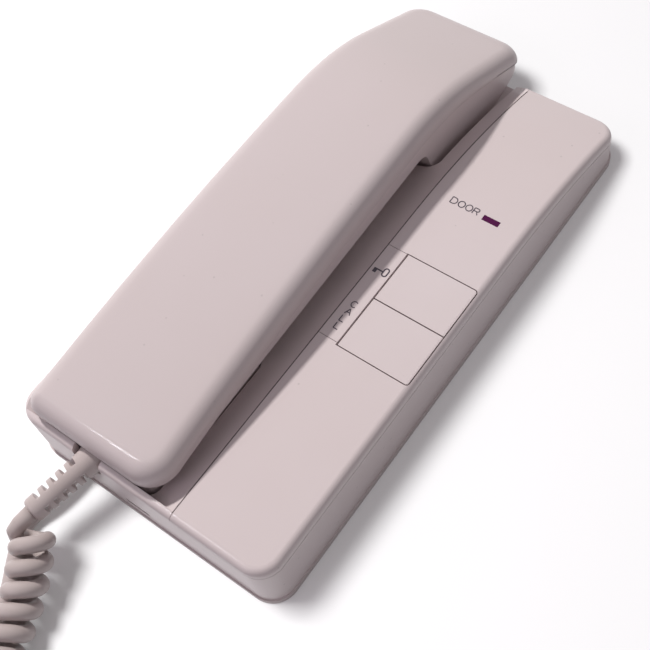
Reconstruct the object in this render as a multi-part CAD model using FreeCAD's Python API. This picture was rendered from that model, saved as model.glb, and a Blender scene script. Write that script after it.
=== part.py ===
"""Solids of a desk and wall intercom station with a handset on a curly cord.

Lengths are millimetres. The origin is the centre of the base's underside,
X runs across the base, Y along it towards the earpiece, and Z is up.
The station is a back plate, a front housing with the cradle on its left, a
face plate with two press buttons on its right, and the handset in the cradle.
"""
import FreeCAD, Part
import math
import os

V = FreeCAD.Vector

# Base: outline and height of the face, which is nearly flat and then curves down
base_width = 93.0
base_length = 183.0
base_half_width = base_width / 2
base_half_length = base_length / 2
base_corner = 8.0
plate_thickness = 2.0
housing_inset = 0.5
wall = 2.2
face_near_height = 24.2
face_bend_height = 23.2
face_bend_y = 0.13934 * base_length
face_radius = 208.0
top_edge_radius = 2.3
overrun = 12.0
clear_height = 70.0

# Face plate: seam beside the cradle, parting line round its skirt
seam_x = 0.14301 * base_width
seam_gap = 0.15
skirt_depth = 3.4
parting_gap = 0.25
skirt_wall = 2.0
face_thickness = 2.0
ledge_width = 2.0
rail_width = 3.6
rail_depth = 6.5

# Cradle: a shallow trough between two pockets
trough_depth = 5.7
trough_slope_width = 12.3
left_lip_width = 2.3
near_lip_width = 2.7
left_lip_x = left_lip_width - base_half_width
lip_y = near_lip_width - base_half_length
pocket_centre_x = -0.17312 * base_width
pocket_corner = 4.0
pocket_wall = 2.0
mouth_pocket_half_width = 0.22043 * base_width
mouth_pocket_lip = 2.9
mouth_pocket_near_y = mouth_pocket_lip - base_half_length
mouth_pocket_far_y = -0.20492 * base_length
mouth_pocket_floor = 10.0
ear_pocket_half_width = 0.25914 * base_width
ear_pocket_near_y = 0.23770 * base_length
ear_pocket_floor = 7.95

# Openings in the walls and the back plate
relief_x = -0.18925 * base_width
relief_notch_shift = 0.4
relief_notch_x = relief_x - relief_notch_shift
relief_notch_half_width = 5.0
relief_notch_height = 20.6
release_slot_x = -0.04301 * base_width
release_slot_width = 9.0
release_slot_height = 2.2
release_slot_z = 5.6
cable_opening_x = 0.34409 * base_width
cable_opening_y = 0.39891 * base_length
cable_opening_width = 16.0
cable_opening_length = 14.0
cable_opening_corner = 2.0
wall_slot_ys = (-0.30055 * base_length, 0.33880 * base_length)
wall_slot_radius = 2.1
wall_slot_length = 9.0

# Screws that hold the back plate to the housing
case_boss_inset = 5.2
case_boss_x = base_half_width - case_boss_inset
case_boss_y = base_half_length - case_boss_inset
case_boss_radius = 3.0
case_boss_top = 15.0
case_screw_radius = 1.3
case_screw_top = 6.2
case_screw_head_radius = 2.4
case_screw_head_height = 1.0

# Buttons on the face plate
button_left_x = 0.22151 * base_width
button_right_inset = 2.2
button_right_x = base_half_width - button_right_inset
button_corner = 0.8
button_ys = (
    (-0.13224 * base_length, -0.03525 * base_length),
    (-0.03306 * base_length, 0.06120 * base_length))
button_opening_left_x = 0.21505 * base_width
button_gap = 0.35
button_depth = 2.2
button_flange_height = 1.0
button_flange_left_x = 0.20430 * base_width
button_flange_right_inset = 4.1
button_flange_right_x = base_half_width - button_flange_right_inset
button_flange_reach = 1.0
button_travel = 1.2
stem_radius = 1.8
stem_x = 0.35161 * base_width
label_depth = 1.2
label_ys = (-0.12896 * base_length, 0.06120 * base_length)

# Indicator lamp
lens_x = 0.36989 * base_width
lens_y = 0.18525 * base_length
lens_width = 5.6
lens_length = 2.0
lens_depth = 2.6
lens_flange = 0.8
lamp_radius = 1.5
lamp_height = 7.5

# Circuit board on posts, with what is mounted on it
board_bottom = 8.0
board_thickness = 1.6
board_left_x = 0.13763 * base_width
board_right_inset = 3.7
board_right_x = base_half_width - board_right_inset
board_near_y = -0.42623 * base_length
board_far_y = 0.34973 * base_length
wing_left_x = -0.27957 * base_width
wing_near_y = -0.18033 * base_length
wing_far_y = 0.21311 * base_length
board_post_radius = 3.0
board_posts = (
    (0.18280 * base_width, -0.40437 * base_length),
    (0.41935 * base_width, -0.40437 * base_length),
    (0.41935 * base_width, 0.25137 * base_length),
    (-0.23656 * base_width, 0.19126 * base_length),
    (-0.23656 * base_width, -0.15847 * base_length))
board_screw_radius = 1.2
board_screw_head_radius = 2.3
board_screw_head_height = 1.4
board_screw_depth = 5.0
switch_body = 6.0
switch_body_height = 3.5
switch_knob_radius = 1.7
switch_knob_height = 1.0
switch_gap = 0.3
button_spring_radius = 5.2
button_spring_wire = 0.5
button_spring_turns_count = 6
buzzer_x = 0.30108 * base_width
buzzer_y = -0.30055 * base_length
buzzer_radius = 11.0
buzzer_height = 7.0
buzzer_port_radius = 1.5
buzzer_port_depth = 2.0
capacitor_radius = 3.6
capacitor_height = 8.0
capacitor_places = (
    (0.20968 * base_width, 0.14208 * base_length),
    (0.20968 * base_width, 0.19399 * base_length))
terminal_x = 0.32258 * base_width
terminal_y = 0.31148 * base_length
terminal_pitch = 5.0
terminal_count = 4
terminal_depth = 8.0
terminal_height = 6.6
terminal_screw_radius = 1.5
terminal_screw_height = 1.6
terminal_screw_sink = 0.6
terminal_mouth = 2.4

# Hook plunger under the grip and the switch beside it
hook_x = pocket_centre_x
hook_y = 0.02732 * base_length
hook_radius = 3.0
hook_clearance = 0.1
hook_collar_radius = 4.2
hook_collar_top = 12.55
hook_collar_height = 1.0
hook_tip_radius = 1.2
hook_spring_radius = 2.6
hook_spring_wire = 0.35
hook_spring_turns_count = 4
hook_switch_gap = 0.6
hook_switch_width = 6.0
hook_switch_length = 8.0
hook_switch_height = 3.4

# Handset: tapered outline, outer shell above an inner shell set in at the rim
handset_x = pocket_centre_x
handset_near_half_width = 0.26559 * base_width
handset_far_half_width = 0.23333 * base_width
handset_near_inset = 2.6
handset_far_reach = 9.4
handset_near_y = handset_near_inset - base_half_length
handset_far_y = base_half_length + handset_far_reach
handset_near_left_corner = 5.6
handset_near_right_corner = 9.0
handset_far_corner = 8.0
handset_edge_radius = 5.2
handset_wall = 2.0
handset_near_top = 32.7
handset_crown = 40.4
handset_far_top = 18.2
handset_near_run = 0.32844 * base_length
handset_far_run = 0.25546 * base_length
handset_near_bend = 0.9605
handset_crown_far_radius = 78.0
rim_depth = 7.5
rim_far_top = 12.9
rim_far_run = 0.24547 * base_length
rim_far_radius = 90.0
rim_step = 0.8
rest_gap = 0.05
grip_underside = 26.8
mouth_block_half_width = 0.20968 * base_width
shoulder_drop = 1.4
mouth_far_y = -0.23224 * base_length
mouth_wall_top_y = -0.21038 * base_length
ear_wall_top_y = 0.23279 * base_length
ear_near_y = 0.25792 * base_length
ear_far_inset = 7.5
ear_far_y = base_half_length - ear_far_inset
mouth_corner_radius = 6.0
block_corner_radius = 3.0
grip_corner_radius = 5.0
ear_far_radius = 8.0

# Inside the handset
ear_hole_centre_y = 0.36066 * base_length
mouth_hole_centre_y = -0.37158 * base_length
sound_hole_radius = 1.1
sound_ring_radius = 5.0
sound_hole_count = 6
earpiece_radius = 15.0
earpiece_height = 6.0
microphone_radius = 7.0
microphone_height = 5.0
ballast_half_width = 0.15054 * base_width
ballast_near_y = -0.31421 * base_length
ballast_far_y = -0.25956 * base_length
ballast_height = 8.0
ballast_corner = 1.5
handset_screw_ys = (-0.16393 * base_length, 0.17486 * base_length)
handset_boss_radius = 3.2
handset_screw_radius = 1.1
handset_screw_head_radius = 2.4
handset_screw_head_depth = 1.2
handset_screw_head_height = 1.0
handset_screw_rise = 7.0
handset_screw_top = grip_underside + handset_screw_rise

# Cord: strain relief on the handset, grommet in the near wall of the base
relief_root_z = 20.8
relief_end_z = 18.2
relief_side = 5.1
relief_reach = 18.7
relief_root = (relief_x, lip_y, relief_root_z)
relief_end = (relief_x - relief_side, -base_half_length - relief_reach, relief_end_z)
relief_root_radius = 4.1
relief_end_radius = 3.7
relief_inner_length = 3.5
relief_slot_count = 5
relief_slot_width = 1.3
relief_slot_depth = 1.5
relief_slot_first = 5.0
relief_slot_step = 3.2
grommet_side = 9.4
grommet_x = relief_x - grommet_side
grommet_z = 5.7
grommet_radius = 3.0
grommet_flange_radius = 3.6
grommet_flange_height = 1.2
cord_diameter = 4.8
coil_radius = 4.2
coil_pitch = 6.2
coil_start_deg = 170.0
coil_gap_skip = 9.0
coil_step = 0.05

# Routes: the lead from the strain relief, the coil's middle line, and the lead to the grommet,
# with x from the relief's root and y from the base's near end
first_lead_route = (
    (-5.112, -18.749, 18.194), (-6.959, -26.5, 17.252), (-7.7, -24.9, 7.4), (-1.9, -22.1, 6.9))
coil_route = (
    (-0.6, -25.0, 14.6), (3.7, -33.3, 10.6), (8.6, -47.1, 7.2), (16.6, -73.5, 6.8),
    (8.6, -105.5, 6.8), (-20.4, -122.5, 6.8), (-52.4, -111.5, 6.8), (-65.4, -82.5, 6.8),
    (-54.4, -54.5, 6.8))
return_lead_route = (
    (-40.4, -48.5, 4.5), (-34.4, -57.5, 2.6), (-31.4, -70.3, 2.6), (-21.7, -80.0, 2.6),
    (-8.1, -80.0, 2.6), (1.6, -70.3, 2.6), (1.4, -56.5, 2.6), (-1.3, -41.0, 2.6),
    (-8.8, -30.0, 2.6), (-13.4, -21.3, 2.6), (-9.4, -10.0, 5.7), (-9.4, -0.75, 5.7))
bend_share = 0.45

# Limits below which two points meet, two directions agree and an arc is straight
same_point_share = 1e-6
same_direction_limit = 1e-9
straight_turn_deg = 0.1

housing_x = base_half_width - housing_inset
housing_y = base_half_length - housing_inset
board_top = board_bottom + board_thickness
mouth_underside = mouth_pocket_floor + rest_gap
ear_underside = ear_pocket_floor + rest_gap


# Outlines and prisms

def arc_through_corner(before, corner, after, radius):
    """Arc of a radius that is tangent to both runs at a corner."""
    back = before.sub(corner).normalize()
    ahead = after.sub(corner).normalize()
    turn = math.pi - back.getAngle(ahead)
    leg = radius * math.tan(turn / 2)
    bisector = back.add(ahead).normalize()
    start = corner.add(back.multiply(leg))
    end = corner.add(ahead.multiply(leg))
    reach = radius / math.cos(turn / 2) - radius
    return start, corner.add(bisector.multiply(reach)), end


def line_or_nothing(start, end, edges):
    """Append the straight run between two points unless they meet."""
    if start.distanceToPoint(end) > cord_diameter * same_point_share:
        edges.append(Part.LineSegment(start, end).toShape())


def rounded_wire(points, radii, closed=True):
    """Wire along points whose corners are tangent arcs of the given radii."""
    count = len(points)
    edges = []
    legs = []
    for index, point in enumerate(points):
        at_end = not closed and index in (0, count - 1)
        if at_end or radii[index] == 0:
            legs.append((point, None, point))
            continue
        before = points[index - 1]
        after = points[(index + 1) % count]
        legs.append(arc_through_corner(before, point, after, radii[index]))
    for index, (start, middle, end) in enumerate(legs):
        if middle is not None:
            edges.append(Part.Arc(start, middle, end).toShape())
        if index + 1 < count or closed:
            line_or_nothing(end, legs[(index + 1) % count][0], edges)
    return Part.Wire(edges)


def prism(corners, radii, bottom, top):
    """Upright prism on an outline in X and Y."""
    points = [V(x, y, bottom) for x, y in corners]
    return Part.Face(rounded_wire(points, radii)).extrude(V(0, 0, top - bottom))


def block(x0, x1, y0, y1, bottom, top, radius=0):
    """Box between limits, its upright edges rounded by radius."""
    corners = ((x0, y0), (x1, y0), (x1, y1), (x0, y1))
    return prism(corners, (radius,) * len(corners), bottom, top)


def cylinder(x, y, bottom, top, radius):
    """Upright cylinder."""
    return Part.makeCylinder(radius, top - bottom, V(x, y, bottom))


def fuse(shapes):
    """One solid from overlapping or touching solids."""
    result = shapes[0]
    for shape in shapes[1:]:
        result = result.fuse(shape)
    return result.removeSplitter()


def compound(shapes):
    """Separate solids kept in one node."""
    return Part.makeCompound(list(shapes))


# Face of the base

face_slope = math.atan((face_near_height - face_bend_height) / (face_bend_y + base_half_length))
face_centre_y = face_bend_y - face_radius * math.sin(face_slope)
face_centre_z = face_bend_height - face_radius * math.cos(face_slope)


def face_height(y):
    """Height of the face of the base at y."""
    if y <= face_bend_y:
        return face_bend_height + (face_bend_y - y) * math.tan(face_slope)
    return face_centre_z + math.sqrt(face_radius ** 2 - (y - face_centre_y) ** 2)


def face_panel(x, drop, level):
    """Plane panel at x between the face line, lowered by drop, and a level."""
    near = -base_half_length - overrun
    far = base_half_length + overrun
    middle = (face_bend_y + far) / 2
    line = [V(x, y, face_height(y) - drop) for y in (near, face_bend_y, middle, far)]
    edges = [
        Part.LineSegment(line[0], line[1]).toShape(),
        Part.Arc(line[1], line[2], line[3]).toShape(),
        Part.LineSegment(line[3], V(x, far, level)).toShape(),
        Part.LineSegment(V(x, far, level), V(x, near, level)).toShape(),
        Part.LineSegment(V(x, near, level), line[0]).toShape()]
    return Part.Face(Part.Wire(edges))


def under_face(drop, x0, x1, bottom):
    """Everything between bottom and the face lowered by drop."""
    return face_panel(x0, drop, bottom).extrude(V(x1 - x0, 0, 0))


def over_face(drop, x0, x1):
    """Everything above the face lowered by drop."""
    return face_panel(x0, drop, clear_height).extrude(V(x1 - x0, 0, 0))


# Base

def housing_outline(inset, bottom, top):
    """Prism on the housing's outline, moved in by inset."""
    radius = base_corner - housing_inset - inset
    x = housing_x - inset
    y = housing_y - inset
    return block(-x, x, -y, y, bottom, top, radius)


def housing_body():
    """Solid shape of housing and face plate together, top edges rounded."""
    body = housing_outline(0, plate_thickness, clear_height)
    body = body.common(under_face(0, -base_width, base_width, 0))
    rim = []
    for edge in body.Edges:
        middle = edge.valueAt((edge.FirstParameter + edge.LastParameter) / 2)
        on_face = abs(middle.z - face_height(middle.y)) < housing_inset
        outside = max(abs(middle.x) - housing_x, abs(middle.y) - housing_y) > -base_corner / 2
        if on_face and outside and abs(edge.BoundBox.ZLength) < skirt_depth + rim_depth * 2:
            rim.append(edge)
    return body.makeFillet(top_edge_radius, rim)


def trough(grow):
    """Space of the cradle's trough, made larger by grow."""
    slope = V(-trough_slope_width, 0, -trough_depth)
    right = face_panel(seam_x, grow, clear_height).extrude(slope)
    mirrored = V(trough_slope_width, 0, -trough_depth)
    left = face_panel(left_lip_x, grow, clear_height).extrude(mirrored)
    flat_x0 = left_lip_x + trough_slope_width
    flat_x1 = seam_x - trough_slope_width
    middle = over_face(trough_depth + grow, flat_x0, flat_x1)
    limit = block(-base_width, base_width, lip_y - grow, base_length,
                  ear_pocket_floor - grow, clear_height)
    return [shape.common(limit) for shape in (right, left, middle)]


def pocket(half_width, y0, y1, floor, grow):
    """Space of one pocket of the cradle, made larger by grow."""
    return block(pocket_centre_x - half_width - grow, pocket_centre_x + half_width + grow,
                 y0 - grow, y1 + grow, floor - grow, clear_height, pocket_corner)


def cradle_space(grow):
    """All spaces of the cradle, made larger by grow."""
    mouth = pocket(mouth_pocket_half_width, mouth_pocket_near_y, mouth_pocket_far_y,
                   mouth_pocket_floor, grow)
    ear = pocket(ear_pocket_half_width, ear_pocket_near_y, base_length, ear_pocket_floor, grow)
    return trough(grow) + [mouth, ear]


def case_places():
    """Places of the four case screws."""
    return [(x, y) for x in (-case_boss_x, case_boss_x) for y in (-case_boss_y, case_boss_y)]


def near_wall_cutters():
    """Relief notch, release slot and grommet hole in the near wall."""
    reach = mouth_pocket_near_y + base_half_length + wall
    start = -base_half_length - wall
    notch = Part.makeCylinder(relief_notch_half_width, reach + wall,
                              V(relief_notch_x, start, relief_notch_height), V(0, 1, 0))
    mouth = block(relief_notch_x - relief_notch_half_width, relief_notch_x + relief_notch_half_width,
                  start, start + reach + wall, relief_notch_height, clear_height)
    slot = block(release_slot_x - release_slot_width / 2, release_slot_x + release_slot_width / 2,
                 start, lip_y + wall, release_slot_z, release_slot_z + release_slot_height)
    hole = Part.makeCylinder(grommet_radius, reach + wall,
                             V(grommet_x, start, grommet_z), V(0, 1, 0))
    return [notch, mouth, slot, hole]


def front_housing(body):
    """Walls and cradle: the body without its hollow and the face plate's place."""
    plate_space = over_face(skirt_depth + parting_gap, seam_x, base_width)
    hollow = housing_outline(wall, 0, clear_height)
    hollow = hollow.common(under_face(wall, -base_width, base_width, 0))
    for space in cradle_space(pocket_wall):
        hollow = hollow.cut(space)
    rail = under_face(0, seam_x - rail_width, seam_x + ledge_width, 0)
    rail = rail.common(over_face(rail_depth, -base_width, base_width))
    hollow = hollow.cut(rail)
    for x, y in case_places():
        hollow = hollow.cut(cylinder(x, y, plate_thickness, case_boss_top, case_boss_radius))
    housing = body.cut(hollow).cut(plate_space)
    ledge = block(seam_x, seam_x + ledge_width, lip_y, -lip_y, 0, clear_height)
    ledge = ledge.common(under_face(skirt_depth, 0, base_width, 0))
    ledge = ledge.common(over_face(rail_depth, 0, base_width))
    housing = housing.fuse(ledge)
    for space in cradle_space(0) + near_wall_cutters():
        housing = housing.cut(space)
    for x, y in case_places():
        housing = housing.cut(cylinder(x, y, 0, case_screw_top, case_screw_radius))
    return housing.removeSplitter()


def back_plate():
    """Flat plate with wall slots, a cable opening and the board's posts."""
    plate = block(-base_half_width, base_half_width, -base_half_length, base_half_length,
                  0, plate_thickness, base_corner)
    half_run = wall_slot_length / 2 - wall_slot_radius
    for y in wall_slot_ys:
        slot = block(-wall_slot_radius, wall_slot_radius, y - half_run - wall_slot_radius,
                     y + half_run + wall_slot_radius, -plate_thickness, board_bottom)
        rounded = [cylinder(0, y + side * half_run, -plate_thickness, board_bottom, wall_slot_radius)
                   for side in (-1, 1)]
        straight = slot.common(block(-base_width, base_width, y - half_run, y + half_run,
                                     -plate_thickness, board_bottom))
        plate = plate.cut(straight).cut(rounded[0]).cut(rounded[1])
    plate = plate.cut(block(
        cable_opening_x - cable_opening_width / 2, cable_opening_x + cable_opening_width / 2,
        cable_opening_y - cable_opening_length / 2, cable_opening_y + cable_opening_length / 2,
        -plate_thickness, board_bottom, cable_opening_corner))
    for x, y in board_posts:
        plate = plate.fuse(cylinder(x, y, plate_thickness / 2, board_bottom, board_post_radius))
    for x, y in board_posts:
        plate = plate.cut(cylinder(x, y, board_top - board_screw_depth, clear_height,
                                   board_screw_radius))
    for x, y in case_places():
        plate = plate.cut(cylinder(x, y, -plate_thickness, case_screw_head_height,
                                   case_screw_head_radius))
        plate = plate.cut(cylinder(x, y, -plate_thickness, board_bottom, case_screw_radius))
    return plate.removeSplitter()


def case_screws():
    """Screws from the back plate into the housing's corner bosses."""
    screws = []
    for x, y in case_places():
        head = cylinder(x, y, 0, case_screw_head_height, case_screw_head_radius)
        screws.append(head.fuse(cylinder(x, y, 0, case_screw_top, case_screw_radius)).removeSplitter())
    return compound(screws)


# Face plate, buttons, label and lamp

def button_prism(index, left_x, gap):
    """Upright prism on one button's outline, larger by gap; its outer right corner is round."""
    y0, y1 = button_ys[index]
    right_x = button_right_x + gap
    corners = ((left_x, y0 - gap), (right_x, y0 - gap), (right_x, y1 + gap), (left_x, y1 + gap))
    round_corner = button_corner + gap
    radii = (0, round_corner * (index == 0), round_corner * (index == 1), 0)
    return prism(corners, radii, 0, clear_height)


def button_opening(index):
    """Opening of one button in the face plate."""
    return button_prism(index, button_opening_left_x, button_gap)


def label_space(gap):
    """Box of the label strip, larger by gap on its free sides."""
    y0, y1 = label_ys
    return block(seam_x + seam_gap, button_opening_left_x, y0 - gap, y1 + gap, 0, clear_height)


def face_plate(body):
    """Cap over the right side of the base."""
    plate = body.common(over_face(skirt_depth, seam_x + seam_gap, base_width))
    inner = housing_outline(skirt_wall, 0, clear_height)
    inner = inner.common(under_face(face_thickness, seam_x + ledge_width, base_width, 0))
    plate = plate.cut(inner)
    for index in range(len(button_ys)):
        plate = plate.cut(button_opening(index))
    plate = plate.cut(label_space(seam_gap).common(over_face(label_depth, 0, base_width)))
    plate = plate.cut(block(lens_x - lens_width / 2, lens_x + lens_width / 2,
                            lens_y - lens_length / 2, lens_y + lens_length / 2, 0, clear_height))
    return plate.removeSplitter()


def label_strip(body):
    """Legend strip set flush in the face plate beside the buttons."""
    strip = body.common(label_space(0))
    return strip.common(over_face(label_depth, 0, base_width))


def stem_place(index):
    """Place of a button's stem."""
    y0, y1 = button_ys[index]
    return stem_x, (y0 + y1) / 2


def knob_top():
    """Height of the top of a button's switch."""
    return board_top + switch_body_height + switch_knob_height


def button(body, index):
    """One press button: cap flush with the face, flange below it and stem."""
    y0, y1 = button_ys[index]
    cap = body.common(button_prism(index, button_left_x, 0))
    cap = cap.common(over_face(button_depth, 0, base_width))
    near_reach = button_flange_reach * (index == 0)
    far_reach = button_flange_reach * (index == 1)
    flange = block(button_flange_left_x, button_flange_right_x, y0 - near_reach, y1 + far_reach,
                   0, clear_height)
    flange = flange.common(under_face(button_depth, 0, base_width, 0))
    flange = flange.common(over_face(button_depth + button_flange_height, 0, base_width))
    x, y = stem_place(index)
    stem = cylinder(x, y, knob_top() + button_travel + switch_gap,
                    face_height(y) - button_depth, stem_radius)
    return fuse([cap, flange, stem])


def helical_spring(x, y, bottom, top, radius, wire, turns):
    """Round wire spring that just touches the faces above and below it."""
    quarters = turns * 4
    climb = (top - bottom - wire) / quarters
    nodes = []
    for index in range(quarters + 1):
        angle = math.pi / 2 * index
        out = V(math.cos(angle), math.sin(angle), 0)
        point = V(x, y, bottom + wire / 2 + climb * index).add(V(out).multiply(radius))
        around = V(0, 0, 1).cross(out).multiply(math.pi / 2 * radius)
        nodes.append((point, around.add(V(0, 0, climb)).normalize()))
    edges = []
    for (point, ahead), (after, after_ahead) in zip(nodes, nodes[1:]):
        edges += [arc for arc, arc_radius in biarc(point, ahead, after, after_ahead)]
    profile = Part.Wire([Part.makeCircle(wire / 2, *nodes[0])])
    return Part.Wire(edges).makePipeShell([profile], True, False)


def button_spring(index):
    """Return spring round a button's stem and switch."""
    x, y = stem_place(index)
    top = face_height(y + button_spring_radius) - button_depth - button_flange_height
    return helical_spring(x, y, board_top, top, button_spring_radius, button_spring_wire,
                          button_spring_turns_count)


def push_switches():
    """Board switches under the two buttons."""
    switches = []
    half = switch_body / 2
    for index in range(len(button_ys)):
        x, y = stem_place(index)
        housing = block(x - half, x + half, y - half, y + half, board_top,
                        board_top + switch_body_height)
        knob = cylinder(x, y, board_top, knob_top(), switch_knob_radius)
        switches.append(fuse([housing, knob]))
    return compound(switches)


def led_lens(body):
    """Window of the indicator lamp with a flange behind the face plate."""
    half_x = lens_width / 2
    half_y = lens_length / 2
    window = body.common(block(lens_x - half_x, lens_x + half_x, lens_y - half_y, lens_y + half_y,
                               0, clear_height))
    window = window.common(over_face(lens_depth, 0, base_width))
    flange = block(lens_x - half_x - lens_flange, lens_x + half_x + lens_flange,
                   lens_y - half_y - lens_flange, lens_y + half_y + lens_flange, 0, clear_height)
    flange = flange.common(under_face(face_thickness, 0, base_width, 0))
    flange = flange.common(over_face(lens_depth, 0, base_width))
    return fuse([window, flange])


def indicator_lamp():
    """Lamp on the board below the lens."""
    stem = cylinder(lens_x, lens_y, board_top, board_top + lamp_height, lamp_radius)
    dome = Part.makeSphere(lamp_radius, V(lens_x, lens_y, board_top + lamp_height))
    return fuse([stem, dome])


# Circuit board and its parts

def circuit_board():
    """Board in the shape of a T: a strip below the face plate and a wing below the trough."""
    strip = block(board_left_x, board_right_x, board_near_y, board_far_y, board_bottom, board_top)
    wing = block(wing_left_x, board_right_x, wing_near_y, wing_far_y, board_bottom, board_top)
    board = fuse([strip, wing])
    for x, y in board_posts:
        board = board.cut(cylinder(x, y, 0, clear_height, board_screw_radius))
    return board


def board_screws():
    """Screws that hold the board on its posts."""
    screws = []
    for x, y in board_posts:
        shank = cylinder(x, y, board_top - board_screw_depth, board_top, board_screw_radius)
        head = cylinder(x, y, board_top, board_top + board_screw_head_height, board_screw_head_radius)
        screws.append(fuse([shank, head]))
    return compound(screws)


def buzzer():
    """Call buzzer: a round case with a sound port in its top."""
    top = board_top + buzzer_height
    case = cylinder(buzzer_x, buzzer_y, board_top, top, buzzer_radius)
    return case.cut(cylinder(buzzer_x, buzzer_y, top - buzzer_port_depth, clear_height,
                             buzzer_port_radius))


def capacitors():
    """Two upright capacitors."""
    return compound(cylinder(x, y, board_top, board_top + capacitor_height, capacitor_radius)
                    for x, y in capacitor_places)


def terminal_places():
    """Places of the terminal screws."""
    first = terminal_x - terminal_pitch * (terminal_count - 1) / 2
    return [(first + terminal_pitch * index, terminal_y) for index in range(terminal_count)]


def terminal_block():
    """Block for the line wires, with a screw well and a wire mouth for each."""
    half_x = terminal_pitch * terminal_count / 2
    half_y = terminal_depth / 2
    top = board_top + terminal_height
    case = block(terminal_x - half_x, terminal_x + half_x, terminal_y - half_y,
                 terminal_y + half_y, board_top, top)
    mouth_half = terminal_mouth / 2
    floor = board_top + terminal_mouth / 2
    for x, y in terminal_places():
        case = case.cut(cylinder(x, y, top - terminal_screw_height - terminal_screw_sink,
                                 clear_height, terminal_screw_radius))
        case = case.cut(block(x - mouth_half, x + mouth_half, y + mouth_half, y + terminal_depth,
                              floor, floor + terminal_mouth))
    return case


def terminal_screws():
    """Clamp screws sunk in the terminal block."""
    top = board_top + terminal_height - terminal_screw_sink
    return compound(cylinder(x, y, top - terminal_screw_height, top, terminal_screw_radius)
                    for x, y in terminal_places())


# Hook plunger

def hook_plunger():
    """Plunger with its collar below the trough and its tip against the grip."""
    tip = grip_underside - rest_gap
    body = cylinder(hook_x, hook_y, hook_collar_top, tip, hook_radius)
    body = body.makeFillet(hook_tip_radius, [edge for edge in body.Edges
                                             if edge.BoundBox.ZMin > tip - hook_tip_radius])
    collar = cylinder(hook_x, hook_y, hook_collar_top - hook_collar_height, hook_collar_top,
                      hook_collar_radius)
    return fuse([body, collar])


def hook_hole():
    """Hole of the plunger in the trough."""
    return cylinder(hook_x, hook_y, board_top, clear_height, hook_radius + hook_clearance)


def hook_spring():
    """Spring below the plunger's collar."""
    return helical_spring(hook_x, hook_y, board_top, hook_collar_top - hook_collar_height,
                          hook_spring_radius, hook_spring_wire, hook_spring_turns_count)


def hook_switch():
    """Switch on the board beside the plunger."""
    x0 = hook_x + hook_collar_radius + hook_switch_gap
    half = hook_switch_length / 2
    return block(x0, x0 + hook_switch_width, hook_y - half, hook_y + half, board_top,
                 board_top + hook_switch_height)


# Handset

def crown_line(x, drop, far_top, far_run, far_radius):
    """Side line of the handset's top or rim as its corners and their radii."""
    crown = handset_crown - drop
    near_top = handset_near_top - drop
    slope = math.atan2(crown - near_top, handset_near_run)
    near_radius = handset_near_bend * handset_near_run / math.tan(slope / 2)
    points = [V(x, handset_near_y, near_top), V(x, handset_near_y + handset_near_run, crown),
              V(x, handset_far_y - far_run, crown), V(x, handset_far_y, far_top)]
    return points, [0, near_radius, far_radius, 0]


def rim_line(x, drop):
    """Line of the rim between the two shells, lowered by drop."""
    return crown_line(x, rim_depth + drop, rim_far_top - drop, rim_far_run, rim_far_radius)


def top_line(x, drop):
    """Line of the handset's top, lowered by drop."""
    return crown_line(x, drop, handset_far_top - drop, handset_far_run,
                      handset_crown_far_radius)


def stretched(points):
    """The same side line, run on past both ends of the handset."""
    first = points[0].add(points[0].sub(points[1]).normalize().multiply(overrun))
    last = points[-1].add(points[-1].sub(points[-2]).normalize().multiply(overrun))
    return [first] + points[1:-1] + [last]


def side_slab(line, level):
    """Slab across the handset between a side line and a level."""
    points, radii = line
    points = stretched(points)
    corners = [V(points[-1].x, points[-1].y, level), V(points[0].x, points[0].y, level)]
    profile = rounded_wire(points + corners, radii + [0, 0])
    return Part.Face(profile).extrude(V(base_width * 2, 0, 0))


def handset_outline(inset, bottom, top):
    """Prism on the handset's tapered outline, moved in by inset."""
    near = handset_near_half_width - inset
    far = handset_far_half_width - inset
    y0 = handset_near_y + inset
    y1 = handset_far_y - inset
    corners = ((handset_x - near, y0), (handset_x + near, y0), (handset_x + far, y1),
               (handset_x - far, y1))
    radii = [corner - inset for corner in (handset_near_left_corner, handset_near_right_corner,
                                           handset_far_corner, handset_far_corner)]
    return prism(corners, radii, bottom, top)


def handset_shell():
    """Outer shell of the handset, open below, with two screw bosses."""
    left = -base_width
    above_rim = side_slab(rim_line(left, 0), clear_height)
    top = side_slab(top_line(left, 0), 0)
    body = handset_outline(0, 0, clear_height).common(top)
    crown = [edge for edge in body.Edges if edge.BoundBox.ZMin > rim_far_top and
             not is_upright(edge) and not crosses(edge)]
    body = body.makeFillet(handset_edge_radius, crown)
    full = body.common(above_rim)
    hollow = handset_outline(handset_wall, 0, clear_height)
    hollow = hollow.common(side_slab(top_line(left, handset_wall), 0))
    for y in handset_screw_ys:
        boss = cylinder(handset_x, y, grip_underside + handset_wall, clear_height,
                        handset_boss_radius)
        hollow = hollow.cut(boss)
    shell = full.cut(hollow)
    bosses = []
    for y in handset_screw_ys:
        boss = cylinder(handset_x, y, grip_underside + handset_wall, clear_height,
                        handset_boss_radius)
        bosses.append(boss.common(body))
    shell = fuse([shell] + bosses)
    for y in handset_screw_ys:
        shell = shell.cut(cylinder(handset_x, y, 0, handset_screw_top, handset_screw_radius))
    return shell


def is_upright(edge):
    """Whether an edge is a straight upright one."""
    box = edge.BoundBox
    return max(box.XLength, box.YLength) < rest_gap


def crosses(edge):
    """Whether an edge crosses the top from side to side, away from both ends."""
    box = edge.BoundBox
    middle = (box.YMin + box.YMax) / 2
    return (box.XLength > handset_far_half_width and middle > handset_near_y + handset_near_right_corner and
            middle < handset_far_y - handset_far_corner)


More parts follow.
